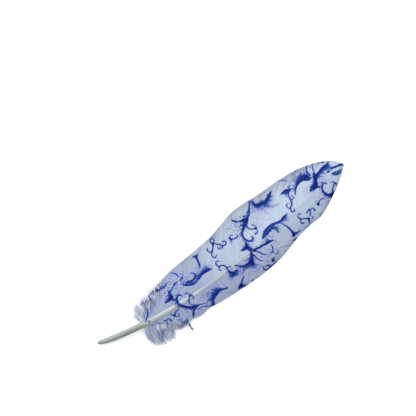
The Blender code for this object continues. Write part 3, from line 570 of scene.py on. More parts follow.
def vane_point(vane, station, offset, lift):
    """Point in a vane at an offset from the shaft, lift being how far up its thickness."""
    reach = along(vane["reach"], station)
    share = np.clip(offset / reach, 0.0, 1.0)
    rim = along(vane["rim"], station)
    root = shaft_height(station) + VANE_SEAT * half_height(station) - VANE_THICK_ROOT / 2
    root = np.maximum(root, rim)
    under = root + (rim - root) * np.minimum(1.0, share / vane["level"]) ** vane["camber"]
    thick = VANE_THICK_ROOT + (VANE_THICK_RIM - VANE_THICK_ROOT) * share
    thick = thick * np.minimum(1.0, 0.5 + (LENGTH - station) / 20.0)
    point, square = shaft_line(station)
    plan = point + square * (vane["side"] * offset)[..., None]
    return np.concatenate([plan, (under + lift * thick)[..., None]], -1)


def place(points):
    """Stations and millimetres across, turned to the frame's metres."""
    points = np.array(points, float)
    points[..., 0] -= PLAN_MIDDLE[0]
    points[..., 1] -= PLAN_MIDDLE[1]
    return points * MM


def unplace(points):
    points = np.array(points, float) / MM
    points[..., 0] += PLAN_MIDDLE[0]
    points[..., 1] += PLAN_MIDDLE[1]
    return points


def from_photo(points):
    """Points drawn over the photograph as (u, v, half width), turned to stations and millimetres across."""
    u, v, half_width = np.array(points, float).T
    east, north = u - PHOTO_START[0], PHOTO_START[1] - v
    cos, sin = math.cos(math.radians(PHOTO_RISE)), math.sin(math.radians(PHOTO_RISE))
    return np.stack([east * cos + north * sin, north * cos - east * sin, half_width], -1) * PIXEL


def smooth_stroke(points, step=0.15):
    """Points about a step apart on a smooth line through the drawn ones."""
    p = np.array(points, float)
    q = np.vstack([2 * p[0] - p[1], p, 2 * p[-1] - p[-2]])
    out = []
    for a, b, c, d in zip(q, q[1:], q[2:], q[3:]):
        n = max(2, int(math.ceil(np.hypot(*(c - b)[:2]) / step)))
        t = (np.arange(n) / n)[:, None]
        out.append(
            0.5 * (2 * b + (c - a) * t + (2 * a - 5 * b + 4 * c - d) * t**2 + (3 * b - a - 3 * c + d) * t**3)
        )
    return np.vstack(out + [p[-1:]])


def trace_stroke(left, right, strength, points):
    """One stroke's line, with its half width, run, heading and weight of ink at each point of the line."""
    path = smooth_stroke(from_photo(points))
    line, drawn = path[:, :2], path[:, 2]
    width = np.maximum(drawn * (PRINT_WIDTH + (1 - PRINT_WIDTH) * ease(0.5, 1.2, drawn)), PRINT_FINEST)
    heading = np.gradient(line, axis=0)
    return {
        "line": line,
        "width": width,
        "run": np.concatenate([[0.0], np.cumsum(np.hypot(*np.diff(line, axis=0).T))]),
        "heading": heading / np.maximum(np.hypot(*heading.T), 1e-9)[:, None],
        "weight": abs(strength) * (PRINT_THIN + (1 - PRINT_THIN) * ease(0.3, 0.85, width)),
        "strength": strength,
        "sides": (left * PIXEL * PRINT_REACH, right * PIXEL * PRINT_REACH),
    }


def stroke_at(stroke, number, where):
    """The core, the ink and the haze that a stroke leaves at points of the plan."""
    grain = ease(0.25, 0.75, mottle(*(where * 1.7).T, number % 7))
    gap = where[:, None, :] - stroke["line"][None]
    square = (gap**2).sum(2)
    near = np.argmin(square, 1)
    here = np.arange(len(where))
    distance, offset = np.sqrt(square[here, near]), gap[here, near]
    wide, run, ahead = stroke["width"][near], stroke["run"][near], stroke["heading"][near]
    cross = ahead[:, 0] * offset[:, 1] - ahead[:, 1] * offset[:, 0]
    edge = wide + (ripple(run * 1.6, number) - 0.5) * 0.22 * (wide > 0.45)
    core = ease(PRINT_BLUR, -PRINT_BLUR, distance - edge) * stroke["weight"][near]
    # broad strokes are darkest along their edges, where the ink gathers
    core *= 1 - 0.15 * ease(0.5, 1.1, wide) * ease(0.9, 0.4, distance / wide) * grain
    # on a soft side the ink fades through hairs that lean the way the stroke runs
    reach = np.where(cross > 0, *stroke["sides"]) * np.clip(wide / stroke["width"].max() * 1.4, 0.2, 1.0)
    length = reach * (0.45 + 0.9 * ripple((run - 0.5 * distance) * 0.9, number + 13))
    inner = wide * (1 - 0.75 * np.minimum(1.0, reach / 1.4))
    fall = np.clip((distance - inner) / np.maximum(wide + length - inner, 1e-6), 0.0, 1.0)
    comb = ripple((run - 0.65 * distance) * 1.9, number + 29)
    wash = (1 - fall) ** 1.35 * (0.95 - 0.5 * ease(0.12, 0.5, fall) * (1 - ease(0.3, 0.7, comb)))
    far = np.clip(1 - (distance - wide) / np.maximum(2.1 * length, 1e-6), 0.0, 1.0)
    hair = 0.72 * ease(0.5, 0.8, comb) * far**0.9 * (0.55 + 0.45 * grain) * (distance > inner) * (reach > 0.3)
    soft = np.maximum(wash, hair) * stroke["strength"]
    ink = np.where(reach > 0.05, np.maximum(soft, core * (distance < inner)), core)
    veil = np.clip(1 - (distance - wide) / (1.9 * np.maximum(reach, 0.7)), 0.0, 1.0) ** 1.4
    return core, ink, veil * stroke["strength"] * np.where(reach > 0.2, 0.85, 0.4)


def lay_print(plan):
    """Ink and haze of the printed scrollwork at points of the plan, both from 0 to 1."""
    clear, bare, haze = np.ones(len(plan)), np.zeros(len(plan)), np.zeros(len(plan))
    order = np.argsort(plan[:, 0])
    ordered = plan[order, 0]
    for number, drawn in enumerate(PRINT_STROKES):
        stroke = trace_stroke(*drawn)
        margin = stroke["width"].max() + max(stroke["sides"]) * PRINT_SEARCH[0] + PRINT_SEARCH[1]
        low, high = stroke["line"].min(0) - margin, stroke["line"].max(0) + margin
        first, last = np.searchsorted(ordered, [low[0], high[0]])
        close = order[first:last]
        close = close[(plan[close, 1] > low[1]) & (plan[close, 1] < high[1])]
        for start in range(0, len(close), PRINT_BATCH):
            rows = close[start : start + PRINT_BATCH]
            core, ink, veil = stroke_at(stroke, number, plan[rows])
            # a stroke of negative strength is a painted highlight: it clears ink and haze along its line
            if stroke["strength"] < 0:
                bare[rows] = np.maximum(bare[rows], np.minimum(core, 1.0))
            else:
                clear[rows] *= 1 - np.clip(ink, 0.0, 1.0)
                haze[rows] = np.maximum(haze[rows], veil)
    x, y = plan.T
    washed = np.zeros(len(plan))
    for *patch, strength in PRINT_WASHES:
        middle_x, middle_y, radius = from_photo([patch])[0]
        square = (x - middle_x) ** 2 + (y - middle_y) ** 2
        washed = np.maximum(washed, strength * WASH_DEPTH * np.exp(-square / radius**2))
    haze = np.maximum(haze, washed)
    # loose specks of ink lie in the washes
    clear *= 1 - 0.5 * ease(0.6, 0.78, mottle(x * 1.5, y * 1.5, 11)) * np.minimum(1.0, washed * 1.8)
    haze *= 0.65 + 0.7 * mottle(x * 1.1, y * 1.1, 3)
    return (1 - clear) * (1 - bare), np.clip(haze, 0.0, 1.0) * (1 - bare)


def linear(code):
    """An sRGB hex colour such as #b9c8dd as the linear values that Blender's colours hold."""
    values = [int(code[i : i + 2], 16) / 255 for i in (1, 3, 5)]
    return tuple(v / 12.92 if v <= 0.04045 else ((v + 0.055) / 1.055) ** 2.4 for v in values)


def rgba(colour):
    """A colour with its alpha, from a hex code, a grey between 0.0 and 1.0 or three linear values."""
    if isinstance(colour, str):
        colour = linear(colour)
    elif isinstance(colour, float):
        colour = (colour, colour, colour)
    return (*colour, 1.0)


def set_inputs(tree, made, inputs):
    """Fills a node's inputs with values, or links them to what other nodes give out."""
    for socket, value in inputs.items():
        if isinstance(value, bpy.types.NodeSocket):
            tree.links.new(value, made.inputs[socket])
        else:
            made.inputs[socket].default_value = value


def node(tree, kind, inputs=None, **settings):
    """Adds a node with its settings, and fills or links its inputs."""
    made = tree.nodes.new(kind)
    for key, value in settings.items():
        setattr(made, key, value)
    set_inputs(tree, made, inputs or {})
    return made


def attribute(tree, name):
    return node(tree, "ShaderNodeAttribute", attribute_name=name).outputs["Fac"]


def maths(tree, operation, *values):
    return node(tree, "ShaderNodeMath", dict(enumerate(values)), operation=operation).outputs[0]


def mix(tree, share, first, second, blend="MIX"):
    """Mixes two colours, the second over the first by its share."""
    inputs = {0: share, 6: first, 7: second}
    return node(tree, "ShaderNodeMix", inputs, data_type="RGBA", blend_type=blend).outputs[2]


def noise(tree, where, scale, detail):
    inputs = {"Vector": where, "Scale": scale, "Detail": detail}
    return node(tree, "ShaderNodeTexNoise", inputs).outputs[0]


def bump(tree, height, strength, distance):
    inputs = {"Height": height, "Strength": strength, "Distance": distance}
    return node(tree, "ShaderNodeBump", inputs).outputs[0]


def ramp(tree, value, *stops):
    """A colour ramp through stops in their order, each a position and a colour."""
    made = node(tree, "ShaderNodeValToRGB", {0: value})
    marks = made.color_ramp.elements
    for mark, (position, colour) in zip(marks, (stops[0], stops[-1])):
        mark.position, mark.color = position, rgba(colour)
    for position, colour in stops[1:-1]:
        marks.new(position).color = rgba(colour)
    return made.outputs[0]


def new_material(name):
    material = bpy.data.materials.new(name)
    material.use_nodes = True
    return material, material.node_tree, material.node_tree.nodes["Principled BSDF"]


def inked(tree, ground, grain):
    """Lays haze and ink over a ground colour: the print bleeds lavender first, then runs to deep cobalt."""
    ink = attribute(tree, "ink")
    hazed = mix(tree, attribute(tree, "haze"), ground, rgba("#989dc0"))
    grainy = maths(tree, "MULTIPLY_ADD", maths(tree, "SUBTRACT", grain, 0.5), 0.35, ink)
    stain = ramp(tree, grainy, (0.06, "#8593c0"), (0.35, "#5068a8"), (0.65, "#2a4a96"), (1.0, "#021664"))
    cover = node(tree, "ShaderNodeMapRange", {0: grainy, 1: 0.05, 2: 0.55, 3: 0.0, 4: 1.0}).outputs[0]
    share = maths(tree, "MULTIPLY", cover, maths(tree, "GREATER_THAN", ink, 0.03))
    return mix(tree, share, hazed, stain)


def barb_material(vanes):
    """Feather keratin, dyed pale blue and transfer printed: hooked barbs give a soft satin, no mirror."""
    material, tree, shader = new_material("dyed_barb_keratin")
    where = node(tree, "ShaderNodeTexCoord").outputs["Object"]
    # grain of the print: 0.3 mm specks where the ink missed a barb
    speck = noise(tree, where, 3200.0, 2.0)
    # slow unevenness of the dye bath, patches about 6 mm across
    bath = noise(tree, where, 160.0, 3.0)
    uneven = maths(tree, "MULTIPLY_ADD", bath, 0.35, attribute(tree, "tone"))
    # the tone holds painted shade as well as the dye's own unevenness: the narrow vane and the webs between
    # the barbs are painted darker along this ramp
    ground = ramp(tree, uneven, (0.15, vanes.shade_colour), (1.0, vanes.light_colour))
    # barbules cross each barb about every 0.25 mm, drawn as a fine bump
    weave = noise(tree, where, 4000.0, 1.0)
    set_inputs(tree, shader, {
        "Base Color": inked(tree, ground, speck),
        "Roughness": 0.55,
        "Specular IOR Level": 0.06,
        "Normal": bump(tree, weave, 0.25, 0.00004),
    })
    return material


def horn_material(shaft):
    """Quill horn: solid keratin, smooth and a little translucent, grey at the barrel and ivory above it."""
    material, tree, shader = new_material("quill_horn")
    where = node(tree, "ShaderNodeTexCoord").outputs["Object"]
    run, girdle = attribute(tree, "run"), attribute(tree, "girdle")
    # growth lines run along the shaft, about 0.15 mm apart and some 8 mm long
    wrapped = node(tree, "ShaderNodeCombineXYZ", {0: girdle, 1: run, 2: 0.0}).outputs[0]
    scaled = node(tree, "ShaderNodeVectorMath", {0: wrapped, 1: (34.0, 22.0, 1.0)}, operation="MULTIPLY")
    streak = noise(tree, scaled.outputs[0], 1.0, 3.0)
    speck = noise(tree, where, 2600.0, 2.0)
    horn = ramp(
        tree, run, (0.0, "#6f736e"), (0.02, "#8a9292"), (0.10, "#6f7773"), (0.15, "#79817c"),
        (0.17, "#969f9b"), (0.24, "#a6aea6"), (0.42, "#b4b894"), (0.7, "#b3b9a2"), (1.0, "#a3b0ba"),
    )
    streaked = mix(tree, 0.45, horn, mix(tree, streak, horn, rgba(shaft.horn_colour)))
    # painted shade darkens the horn towards the narrow vane; a pale painted highlight runs along its side
    # towards the broad vane, strongest on the bare rachis just past the barrel
    side_shaded = mix(tree, 1.0, streaked, ramp(tree, girdle, (0.1, (0.66, 0.67, 0.69)), (0.6, 1.0)), "MULTIPLY")
    highlight_across = ramp(tree, girdle, (0.5, 0.0), (0.74, 0.85), (0.95, 0.55))
    highlight_along = ramp(
        tree, run, (0.0, 0.42), (0.17, 0.45), (0.23, 1.0), (0.32, 0.9), (0.38, 0.35), (0.5, 0.12),
    )
    highlighted = mix(tree, maths(tree, "MULTIPLY", highlight_across, highlight_along), side_shaded, rgba("#cdd8e2"))
    dyed = mix(tree, attribute(tree, "dye"), highlighted, rgba("#a9b8cc"))
    set_inputs(tree, shader, {
        "Base Color": inked(tree, dyed, speck),
        "Roughness": 0.42,
        "Specular IOR Level": 0.3,
        "IOR": 1.54,
        "Subsurface Weight": 0.12,
        "Subsurface Radius": (0.0012, 0.0009, 0.0006),
        "Subsurface Scale": 0.5,
        "Normal": bump(tree, streak, 0.3, 0.00008),
    })
    return material


def down_material(down):
    """Down: loose barbs with no hooks, so it is matt and grey where the vane is satin."""
    material, tree, shader = new_material("loose_down")
    where = node(tree, "ShaderNodeTexCoord").outputs["Object"]
    cloud = noise(tree, where, 420.0, 3.0)
    speck = noise(tree, where, 2600.0, 2.0)
    uneven = maths(tree, "MULTIPLY_ADD", cloud, 0.4, attribute(tree, "tone"))
    ground = ramp(tree, uneven, (0.1, down.dark_colour), (1.0, down.pale_colour))
    set_inputs(tree, shader, {
        "Base Color": inked(tree, ground, speck),
        "Roughness": 0.8,
        "Specular IOR Level": 0.1,
        "Sheen Weight": 0.05,
        "Sheen Roughness": 0.6,
    })
    return material


def new_tree(name, lengths):
    """A geometry nodes tree with its inputs: the geometry, lengths with their defaults, and a material."""
    tree = bpy.data.node_groups.new(name, "GeometryNodeTree")
    face = tree.interface
    face.new_socket("Geometry", in_out="INPUT", socket_type="NodeSocketGeometry")
    for label, default in lengths.items():
        socket = face.new_socket(label, in_out="INPUT", socket_type="NodeSocketFloat")
        socket.default_value, socket.min_value, socket.subtype = default, 0.0, "DISTANCE"
    face.new_socket("Material", in_out="INPUT", socket_type="NodeSocketMaterial")
    face.new_socket("Geometry", in_out="OUTPUT", socket_type="NodeSocketGeometry")
    return tree


def end_tree(tree, given, geometry):
    """Ends a tree: what it made becomes real geometry in its material."""
    real = node(tree, "GeometryNodeRealizeInstances", {"Geometry": geometry}).outputs[0]
    inputs = {"Geometry": real, "Material": given["Material"]}
    node(tree, "NodeGroupOutput", {0: node(tree, "GeometryNodeSetMaterial", inputs).outputs[0]})
    return tree


def named(tree, name, data_type="FLOAT"):
    """What the geometry holds under a name."""
    found = node(tree, "GeometryNodeInputNamedAttribute", {"Name": name}, data_type=data_type)
    return found.outputs["Attribute"]


def strand_tree(name, sides):
    """Geometry nodes that turn drawn lines into closed tapering strands; girth scales each section."""
    tree = new_tree(name, {"Width": 0.0006, "Thickness": 0.00016})
    given = node(tree, "NodeGroupInput").outputs
    lines = node(tree, "GeometryNodeMeshToCurve", {"Mesh": given["Geometry"]}).outputs[0]
    upright = node(tree, "GeometryNodeSetCurveNormal", {"Curve": lines}, mode="Z_UP").outputs[0]
    ring = node(tree, "GeometryNodeCurvePrimitiveCircle", {"Resolution": sides, "Radius": 0.5}).outputs[0]
    inputs = {0: given["Width"], 1: given["Thickness"], 2: 1.0}
    section = node(tree, "ShaderNodeCombineXYZ", inputs).outputs[0]
    flat_ring = node(tree, "GeometryNodeTransform", {"Geometry": ring, "Scale": section}).outputs[0]
    inputs = {"Curve": upright, "Profile Curve": flat_ring, "Scale": named(tree, "girth"), "Fill Caps": True}
    return end_tree(tree, given, node(tree, "GeometryNodeCurveToMesh", inputs).outputs[0])


def socket_id(tree, label):
    sockets = tree.interface.items_tree
    return next(item.identifier for item in sockets if item.name == label and item.in_out == "INPUT")


def grow(thing, tree, **inputs):
    """Runs a geometry nodes tree on an object and keeps what it makes as a plain mesh."""
    draft = thing.data
    step = thing.modifiers.new("grow", "NODES")
    step.node_group = tree
    for label, value in inputs.items():
        step[socket_id(tree, label)] = value
    bpy.context.view_layer.update()
    graph = bpy.context.evaluated_depsgraph_get()
    mesh = bpy.data.meshes.new_from_object(thing.evaluated_get(graph), depsgraph=graph)
    thing.modifiers.remove(step)
    thing.data = mesh
    bpy.data.meshes.remove(draft)
    mesh.name = thing.name
    mesh.shade_smooth()
    return thing


def add_object(name, data):
    """Adds an object to the scene, at the origin until it is moved."""
    thing = bpy.data.objects.new(name, data)
    bpy.context.scene.collection.objects.link(thing)
    return thing


def grow_strands(name, lines, tree, width, thickness, material):
    """Makes one mesh of strands from lines, each a dict of points (mm), girth and tone."""
    points = np.vstack([line["points"] for line in lines])
    counts = [len(line["points"]) for line in lines]
    starts = np.concatenate([[0], np.cumsum(counts)[:-1]])
    edges = [np.stack([np.arange(s, s + n - 1), np.arange(s + 1, s + n)], 1) for s, n in zip(starts, counts)]
    draft = bpy.data.meshes.new(name)
    draft.from_pydata(place(points).tolist(), np.concatenate(edges).tolist(), [])
    for key in ("girth", "tone", "dip"):
        values = [np.broadcast_to(line.get(key, 0.0), n) for line, n in zip(lines, counts)]
        set_values(draft, key, np.concatenate(values))
    thing = add_object(name, draft)
    return grow(thing, tree, Width=width, Thickness=thickness, Material=material)


def vertex_table(mesh, key):
    """What each vertex holds under a key with three values, such as its place or its normal."""
    table = np.empty(len(mesh.vertices) * 3)
    mesh.vertices.foreach_get(key, table)
    return table.reshape(-1, 3)


def set_values(mesh, name, values):
    layer = mesh.attributes.get(name) or mesh.attributes.new(name, "FLOAT", "POINT")
    layer.data.foreach_set("value", np.asarray(values, np.float32))


def read_values(mesh, name):
    values = np.empty(len(mesh.vertices), np.float32)
    mesh.attributes[name].data.foreach_get("value", values)
    return values


def print_on(mesh, lower_share=0.25, strength=1.0, spread=1.0):
    """Prints the scrollwork on a piece from above; what faces down takes only a little of it."""
    where = unplace(vertex_table(mesh, "co"))
    ink, haze = lay_print(where[:, :2])
    up = ease(-0.7, -0.2, vertex_table(mesh, "normal")[:, 2])
    share = (lower_share + (1 - lower_share) * up) * strength
    set_values(mesh, "ink", ink * share)
    set_values(mesh, "haze", haze * share * spread)
    return where


def finish_piece(thing):
    """Puts a piece on the feather's one body, in place of its one node."""
    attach(thing, BODY)
    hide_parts(NODE)


def barb_roots(vane, count):
    """Root and rim stations of barbs laid evenly along a vane."""
    root = np.linspace(VANE_START + 0.4, LENGTH - 0.08, 4000)
    middle = root + along(vane["sweep"], root) / 2
    root = np.interp(np.linspace(middle[0], middle[-1], count), middle, root)
    return root, root + along(vane["sweep"], root)


def barb_path(vane, root, rim, short, t, seed):
    """Stations and offsets of barbs, with their slow drift out of line; rows are barbs and columns t."""
    drift = (ripple(root * 0.35, seed) - 0.5) * 0.5 + (ripple(root * 1.3, seed + 3) - 0.5) * 0.07
    station = root + (rim - root) * (0.6 * t + 0.4 * t * t) + drift * t**1.6
    station = np.clip(station, VANE_START, LENGTH - 0.02)
    # past the end of the shaft the two vanes close on its line
    inner = along(SHAFT_HALF_WIDTH, root) * 0.7 * (1 - 0.95 * ease(SHAFT_END - 0.7, SHAFT_END - 0.1, root))
    return station, inner + (along(vane["reach"], station) * short - inner) * t


def panel_quads(up, down):
    """Quads round a thin panel, from the vertex numbers of its upper and its lower side."""
    quads = (
        (up[:-1, :-1], up[:-1, 1:], up[1:, 1:], up[1:, :-1]),
        (down[:-1, :-1], down[1:, :-1], down[1:, 1:], down[:-1, 1:]),
        (up[:-1, 0], up[1:, 0], down[1:, 0], down[:-1, 0]),
        (up[:-1, -1], down[:-1, -1], down[1:, -1], up[1:, -1]),
        (up[0, :-1], down[0, :-1], down[0, 1:], up[0, 1:]),
        (up[-1, :-1], up[-1, 1:], down[-1, 1:], down[-1, :-1]),
    )
    return [np.stack(corners, -1).reshape(-1, 4) for corners in quads]


def vane_tone(vane, root, station, t, ridge, loose, seed):
    """Tone of the vane: paler towards the tip, darker at the foot and along the rim, and painted shade in the
    webs between the barbs and over the narrow vane.
    """
    uneven = (ripple(root * 0.5, seed + 5) - 0.5) * 0.12 + (ripple(root * 2.2, seed + 6) - 0.5) * 0.08
    run = 0.32 * (ease(60.0, 125.0, station) - 0.77) - vane["foot"] * ease(82.0, 60.0, station)
    rim = 0.08 * ease(0.86, 1.0, t) + 0.12 * loose * t
    # painted shade: vane["shade"] darkens the whole narrow vane, and the 0.10 term darkens the webs between
    # barbs
    return 0.5 + vane["shade"] + uneven + run - 0.10 * (1 - ridge) - rim


def vane_sheet(name, vane, barbs, thickness):
    """A vane as thin sheets of barbs hooked side by side, which part where it is split."""
    seed = vane["seed"]
    rng = np.random.default_rng(seed)
    count = 2 * barbs + 1
    root, rim = barb_roots(vane, count)
    loose = 1 - ease(*vane["loose"], root)
    short = 1 - np.abs(rng.normal(0, 0.006, count))
    short = short - loose * (vane["bare"] + np.abs(rng.normal(0, 0.10, count)))
    # every other row is the web between two barbs, and ends a little before them
    short[1::2] = np.minimum(short[0:-1:2], short[2::2]) - 0.010
    t = np.linspace(0.0, 1.0, vane["columns"] + 1)[None]
    parted = {int(np.searchsorted(root, split[0])) // 2 * 2 for split in vane["splits"]}
    cuts = sorted({0, count - 1} | parted)
    corners, faces, crest, barb, tone = [], [], [], [], []
    total = 0
    for a, b in zip(cuts, cuts[1:]):
        rows = np.arange(a, b + 1)
        r = root[rows][:, None]
        station, offset = barb_path(vane, r, rim[rows][:, None], short[rows][:, None], t, seed)
        for split_root, opening, softness, late in vane["splits"]:
            side = 1.0 if root[rows].mean() > split_root else -1.0
            apart = np.exp(-np.abs(r - split_root) / softness)
            station = station + side * apart * (SPLIT_GAP + opening * 0.5 * t**late)
        upper = vane_point(vane, station, offset, SHEET_LIFT)
        wave = 0.07 * np.sin(station * 0.31 + 2.0 * t) + 0.08 * (ripple(station * 0.22, seed + 4) - 0.5)
        thick = thickness * (1 - 0.35 * t) * np.ones_like(station)
        upper[..., 2] = np.maximum(upper[..., 2] + wave * t, thick + 0.02)
        lower = upper.copy()
        lower[..., 2] -= thick
        n, m = station.shape
        corners += [upper.reshape(-1, 3), lower.reshape(-1, 3)]
        faces += panel_quads(*(total + np.arange(2 * n * m).reshape(2, n, m)))
        total += 2 * n * m
        ridge = np.broadcast_to((rows % 2 == 0)[:, None], (n, m)).astype(float)
        crest += [ridge.ravel(), -0.6 * ridge.ravel()]
        barb += [np.broadcast_to((rows // 2)[:, None], (n, m)).ravel()] * 2
        tone += [vane_tone(vane, r, station, t, ridge, loose[rows][:, None], seed).ravel()] * 2
    if vane["side"] > 0:
        faces = [f[:, ::-1] for f in faces]
    mesh = bpy.data.meshes.new(name)
    mesh.from_pydata(place(np.vstack(corners)).tolist(), [], np.vstack(faces).tolist())
    set_values(mesh, "crest", np.concatenate(crest))
    set_values(mesh, "tone", np.clip(np.concatenate(tone), 0.0, 1.0))
    numbers = mesh.attributes.new("barb", "INT", "POINT")
    numbers.data.foreach_set("value", np.concatenate(barb).astype(np.int32))
    return add_object(name, mesh)


def tip_lines(vane, barbs):
    """The free ends of barbs along a vane's rim, just past where their hooks let go."""
    seed = vane["seed"]
    rng = np.random.default_rng(seed)
    root, rim = barb_roots(vane, barbs)
    lines = []
    for r, s in zip(root, rim):
        if r < vane["loose"][0] + 6.0:
            continue
        t = np.linspace(rng.uniform(0.90, 0.95), 1.0, 5)
        station, offset = barb_path(vane, r, s, 1.0 + rng.uniform(0.0, 0.012), t, seed)
        station = station + rng.normal(0, 0.12) * (t - t[0]) / (1 - t[0])
        offset = np.minimum(offset, along(vane["reach"], station) * 1.02)
        points = vane_point(vane, station, offset, TIP_LIFT)
        points[:, 2] = np.maximum(points[:, 2] + rng.normal(0, 0.05), 0.1)
        lines.append({"points": points, "girth": np.array([0.8, 0.8, 0.7, 0.5, 0.15]), "tone": 0.42})
    return lines


def barb_tree():
    """Geometry nodes that raise each barb of a vane as a ridge, some a little higher than others."""
    tree = new_tree("raise_barbs", {"Ridge": 0.00005})
    tree.interface.new_socket("Seed", in_out="INPUT", socket_type="NodeSocketInt").default_value = 5
    given = node(tree, "NodeGroupInput").outputs
    inputs = {2: 0.55, 3: 1.0, "ID": named(tree, "barb", "INT"), "Seed": given["Seed"]}
    uneven = node(tree, "FunctionNodeRandomValue", inputs, data_type="FLOAT").outputs[1]
    height = maths(tree, "MULTIPLY", named(tree, "crest"), given["Ridge"])
    up = node(tree, "ShaderNodeCombineXYZ", {2: maths(tree, "MULTIPLY", height, uneven)}).outputs[0]
    inputs = {"Geometry": given["Geometry"], "Offset": up}
    return end_tree(tree, given, node(tree, "GeometryNodeSetPosition", inputs).outputs[0])


def down_rib(table, root, seed, lift, rng):
    """One soft rib of down: its points, its girth, its tone and the way that it heads at each point."""
    t = np.linspace(0.0, 1.0, 12)
    lock = ripple(root * 1.1, seed) - 0.5
    heading = straight(table, root, 1) + 4.5 * lock + rng.normal(0, 2.5)
    turn = straight(table, root, 2) + rng.normal(0, 9.0)
    length = straight(table, root, 3) * (0.99 + 0.08 * lock - abs(rng.normal(0, 0.06)))
    length *= 0.7 if rng.random() < 0.25 else 1.0
    curl = rng.normal(0, 12.0)
    wave = rng.uniform(2, 7) * np.sin(t * rng.uniform(4, 9) + rng.uniform(0, 6)) * t
    angle = np.radians(heading + turn * t + curl * t**3 + wave)
    start, _ = shaft_line(root)
    step = length / (len(t) - 1)
    x = start[0] + np.concatenate([[0.0], np.cumsum(np.cos(angle[:-1]) * step)])
    y = start[1] + np.concatenate([[0.0], np.cumsum(np.sin(angle[:-1]) * step)])
    top = float(shaft_height(root)) - 0.3
    end_height = straight(table, root, 4) + rng.uniform(-0.6, 1.1) * lift
    bulge = rng.uniform(-0.6, 0.25) * lift * np.sin(math.pi * t)
    z = np.maximum(top + (end_height - top) * t**0.8 + bulge, 0.14)
    tone = 0.52 + 0.6 * lock + rng.normal(0, 0.15)
    girth = (0.4 + 0.6 * np.sin(math.pi * np.minimum(1.0, 0.15 + 0.7 * t))) * (1 - 0.93 * t**7)
    girth = girth * rng.uniform(0.6, 1.25)
    return {"points": np.stack([x, y, z], 1), "girth": girth, "tone": np.clip(tone, 0, 1)}, tone, angle


def barbule(rib, tone, angle, side, rng):
    """One fine barbule that leaves a rib to a side."""
    t = np.linspace(0.0, 1.0, len(angle))
    at = rng.uniform(0.25, 1.0) ** 0.8
    lean = np.interp(at, t, angle) + side * math.radians(rng.uniform(6, 34))
    bend = -side * math.radians(rng.uniform(0, 45))
    span = rng.uniform(0.8, 2.6) * (1.1 - 0.6 * at)
    s = np.linspace(0, 1, 4)
    x, y, z = (np.interp(at, t, axis) for axis in rib["points"].T)
    x = x + span * s * np.cos(lean + bend * s)
    y = y + span * s * np.sin(lean + bend * s)
    z = np.maximum(0.08, z + rng.uniform(-0.5, 0.6) * s)
    tone = np.clip(tone + rng.normal(0.08, 0.12), 0, 1)
    return {"points": np.stack([x, y, z], 1), "girth": np.array([1.0, 0.85, 0.6, 0.15]), "tone": tone}


def down_lines(table, count, seed, first, last, lift):
    """Soft ribs of down in loose clumps, and the fine barbules that fill the air between them."""
    rng = np.random.default_rng(seed)
    ribs, barbules = [], []
    for i in range(count):
        root = first + (last - first) * (i + rng.uniform(0, 1)) / count
        rib, tone, angle = down_rib(table, root, seed, lift, rng)
        ribs.append(rib)
        barbules += [barbule(rib, tone, angle, 1 if k % 2 else -1, rng) for k in range(BARBULES_PER_RIB)]
    return ribs, barbules


def stray_lines():
    """Single barbs that stick out of the down, each drawn through its points, a few dipped deep in ink."""
    lines = []
    for dip, tone, girth, height, drawn in STRAY_BARBS:
        path = smooth_stroke([(*point, 0.0) for point in drawn], 0.9)
        share = np.linspace(0.0, 1.0, len(path))
        path[:, 2] = height[0] + (height[1] - height[0]) * share
        thin, faded = girth * (1 - 0.85 * share**2), dip * (1 - 0.3 * share)
        lines.append({"points": path, "girth": thin, "tone": tone, "dip": faded})
    return lines


def shaft_rings():
    """Stations and half widths of the rings from the dimple in the barrel's end to the end of the rachis."""
    dimple = np.array(DIMPLE)
    last = [SHAFT_END - 0.2, SHAFT_END]
    stations = np.concatenate([[1.0, 1.6, 2.3, 3.1], np.arange(4.0, last[0], 0.7), last])
    rings = np.concatenate([dimple[:, 0], stations])
    return rings, np.concatenate([dimple[:, 1], along(SHAFT_HALF_WIDTH, stations)])


def shaft_mesh(shaft):
    """The barrel and the rachis as rings, with each point's station and how far up its ring it is."""
    stations, half = shaft_rings()
    around = shaft.sides
    turn = np.linspace(0, 2 * math.pi, around, endpoint=False)
    point, square = shaft_line(stations)
    rachis = ease(24.0, 36.0, stations)
    cos, sin = np.cos(turn), np.sin(turn)
    # the rachis is nearly square in section with soft corners; the barrel is round
    power = (2.0 + 1.2 * rachis)[:, None]
    bulge = (np.abs(cos)[None] ** power + np.abs(sin)[None] ** power) ** (-1 / power)
    across = half[:, None] * bulge * cos[None]
    up = half[:, None] * SHAFT_TALLER * bulge * sin[None]
    # the groove along the underside starts where the vanes do
    groove = np.exp(-((cos[None] / 0.32) ** 2)) * (sin[None] < 0)
    up = up + groove * half[:, None] * 0.45 * rachis[:, None]
    x = point[:, 0][:, None] + square[:, 0][:, None] * across
    y = point[:, 1][:, None] + square[:, 1][:, None] * across
    z = shaft_height(stations)[:, None] + up
    points = np.stack([x, y, np.maximum(z, 0.01)], -1)
    rings = len(stations)
    index = np.arange(rings * around).reshape(rings, around)
    ahead = np.roll(index, -1, axis=1)
    quads = np.stack([index[:-1], index[1:], ahead[1:], ahead[:-1]], -1).reshape(-1, 4)
    mesh = bpy.data.meshes.new("shaft")
    faces = quads.tolist() + [index[0].tolist(), index[-1][::-1].tolist()]
    mesh.from_pydata(place(points.reshape(-1, 3)).tolist(), [], faces)
    set_values(mesh, "run", np.repeat(stations / LENGTH, around))
    set_values(mesh, "girdle", np.tile(np.abs(turn - math.pi) / math.pi, rings))
    return mesh, np.repeat(stations, around), np.tile(sin, rings)


def face_outward(mesh):
    made = bmesh.new()
    made.from_mesh(mesh)
    bmesh.ops.recalc_face_normals(made, faces=made.faces)
    made.to_mesh(mesh)
    made.free()


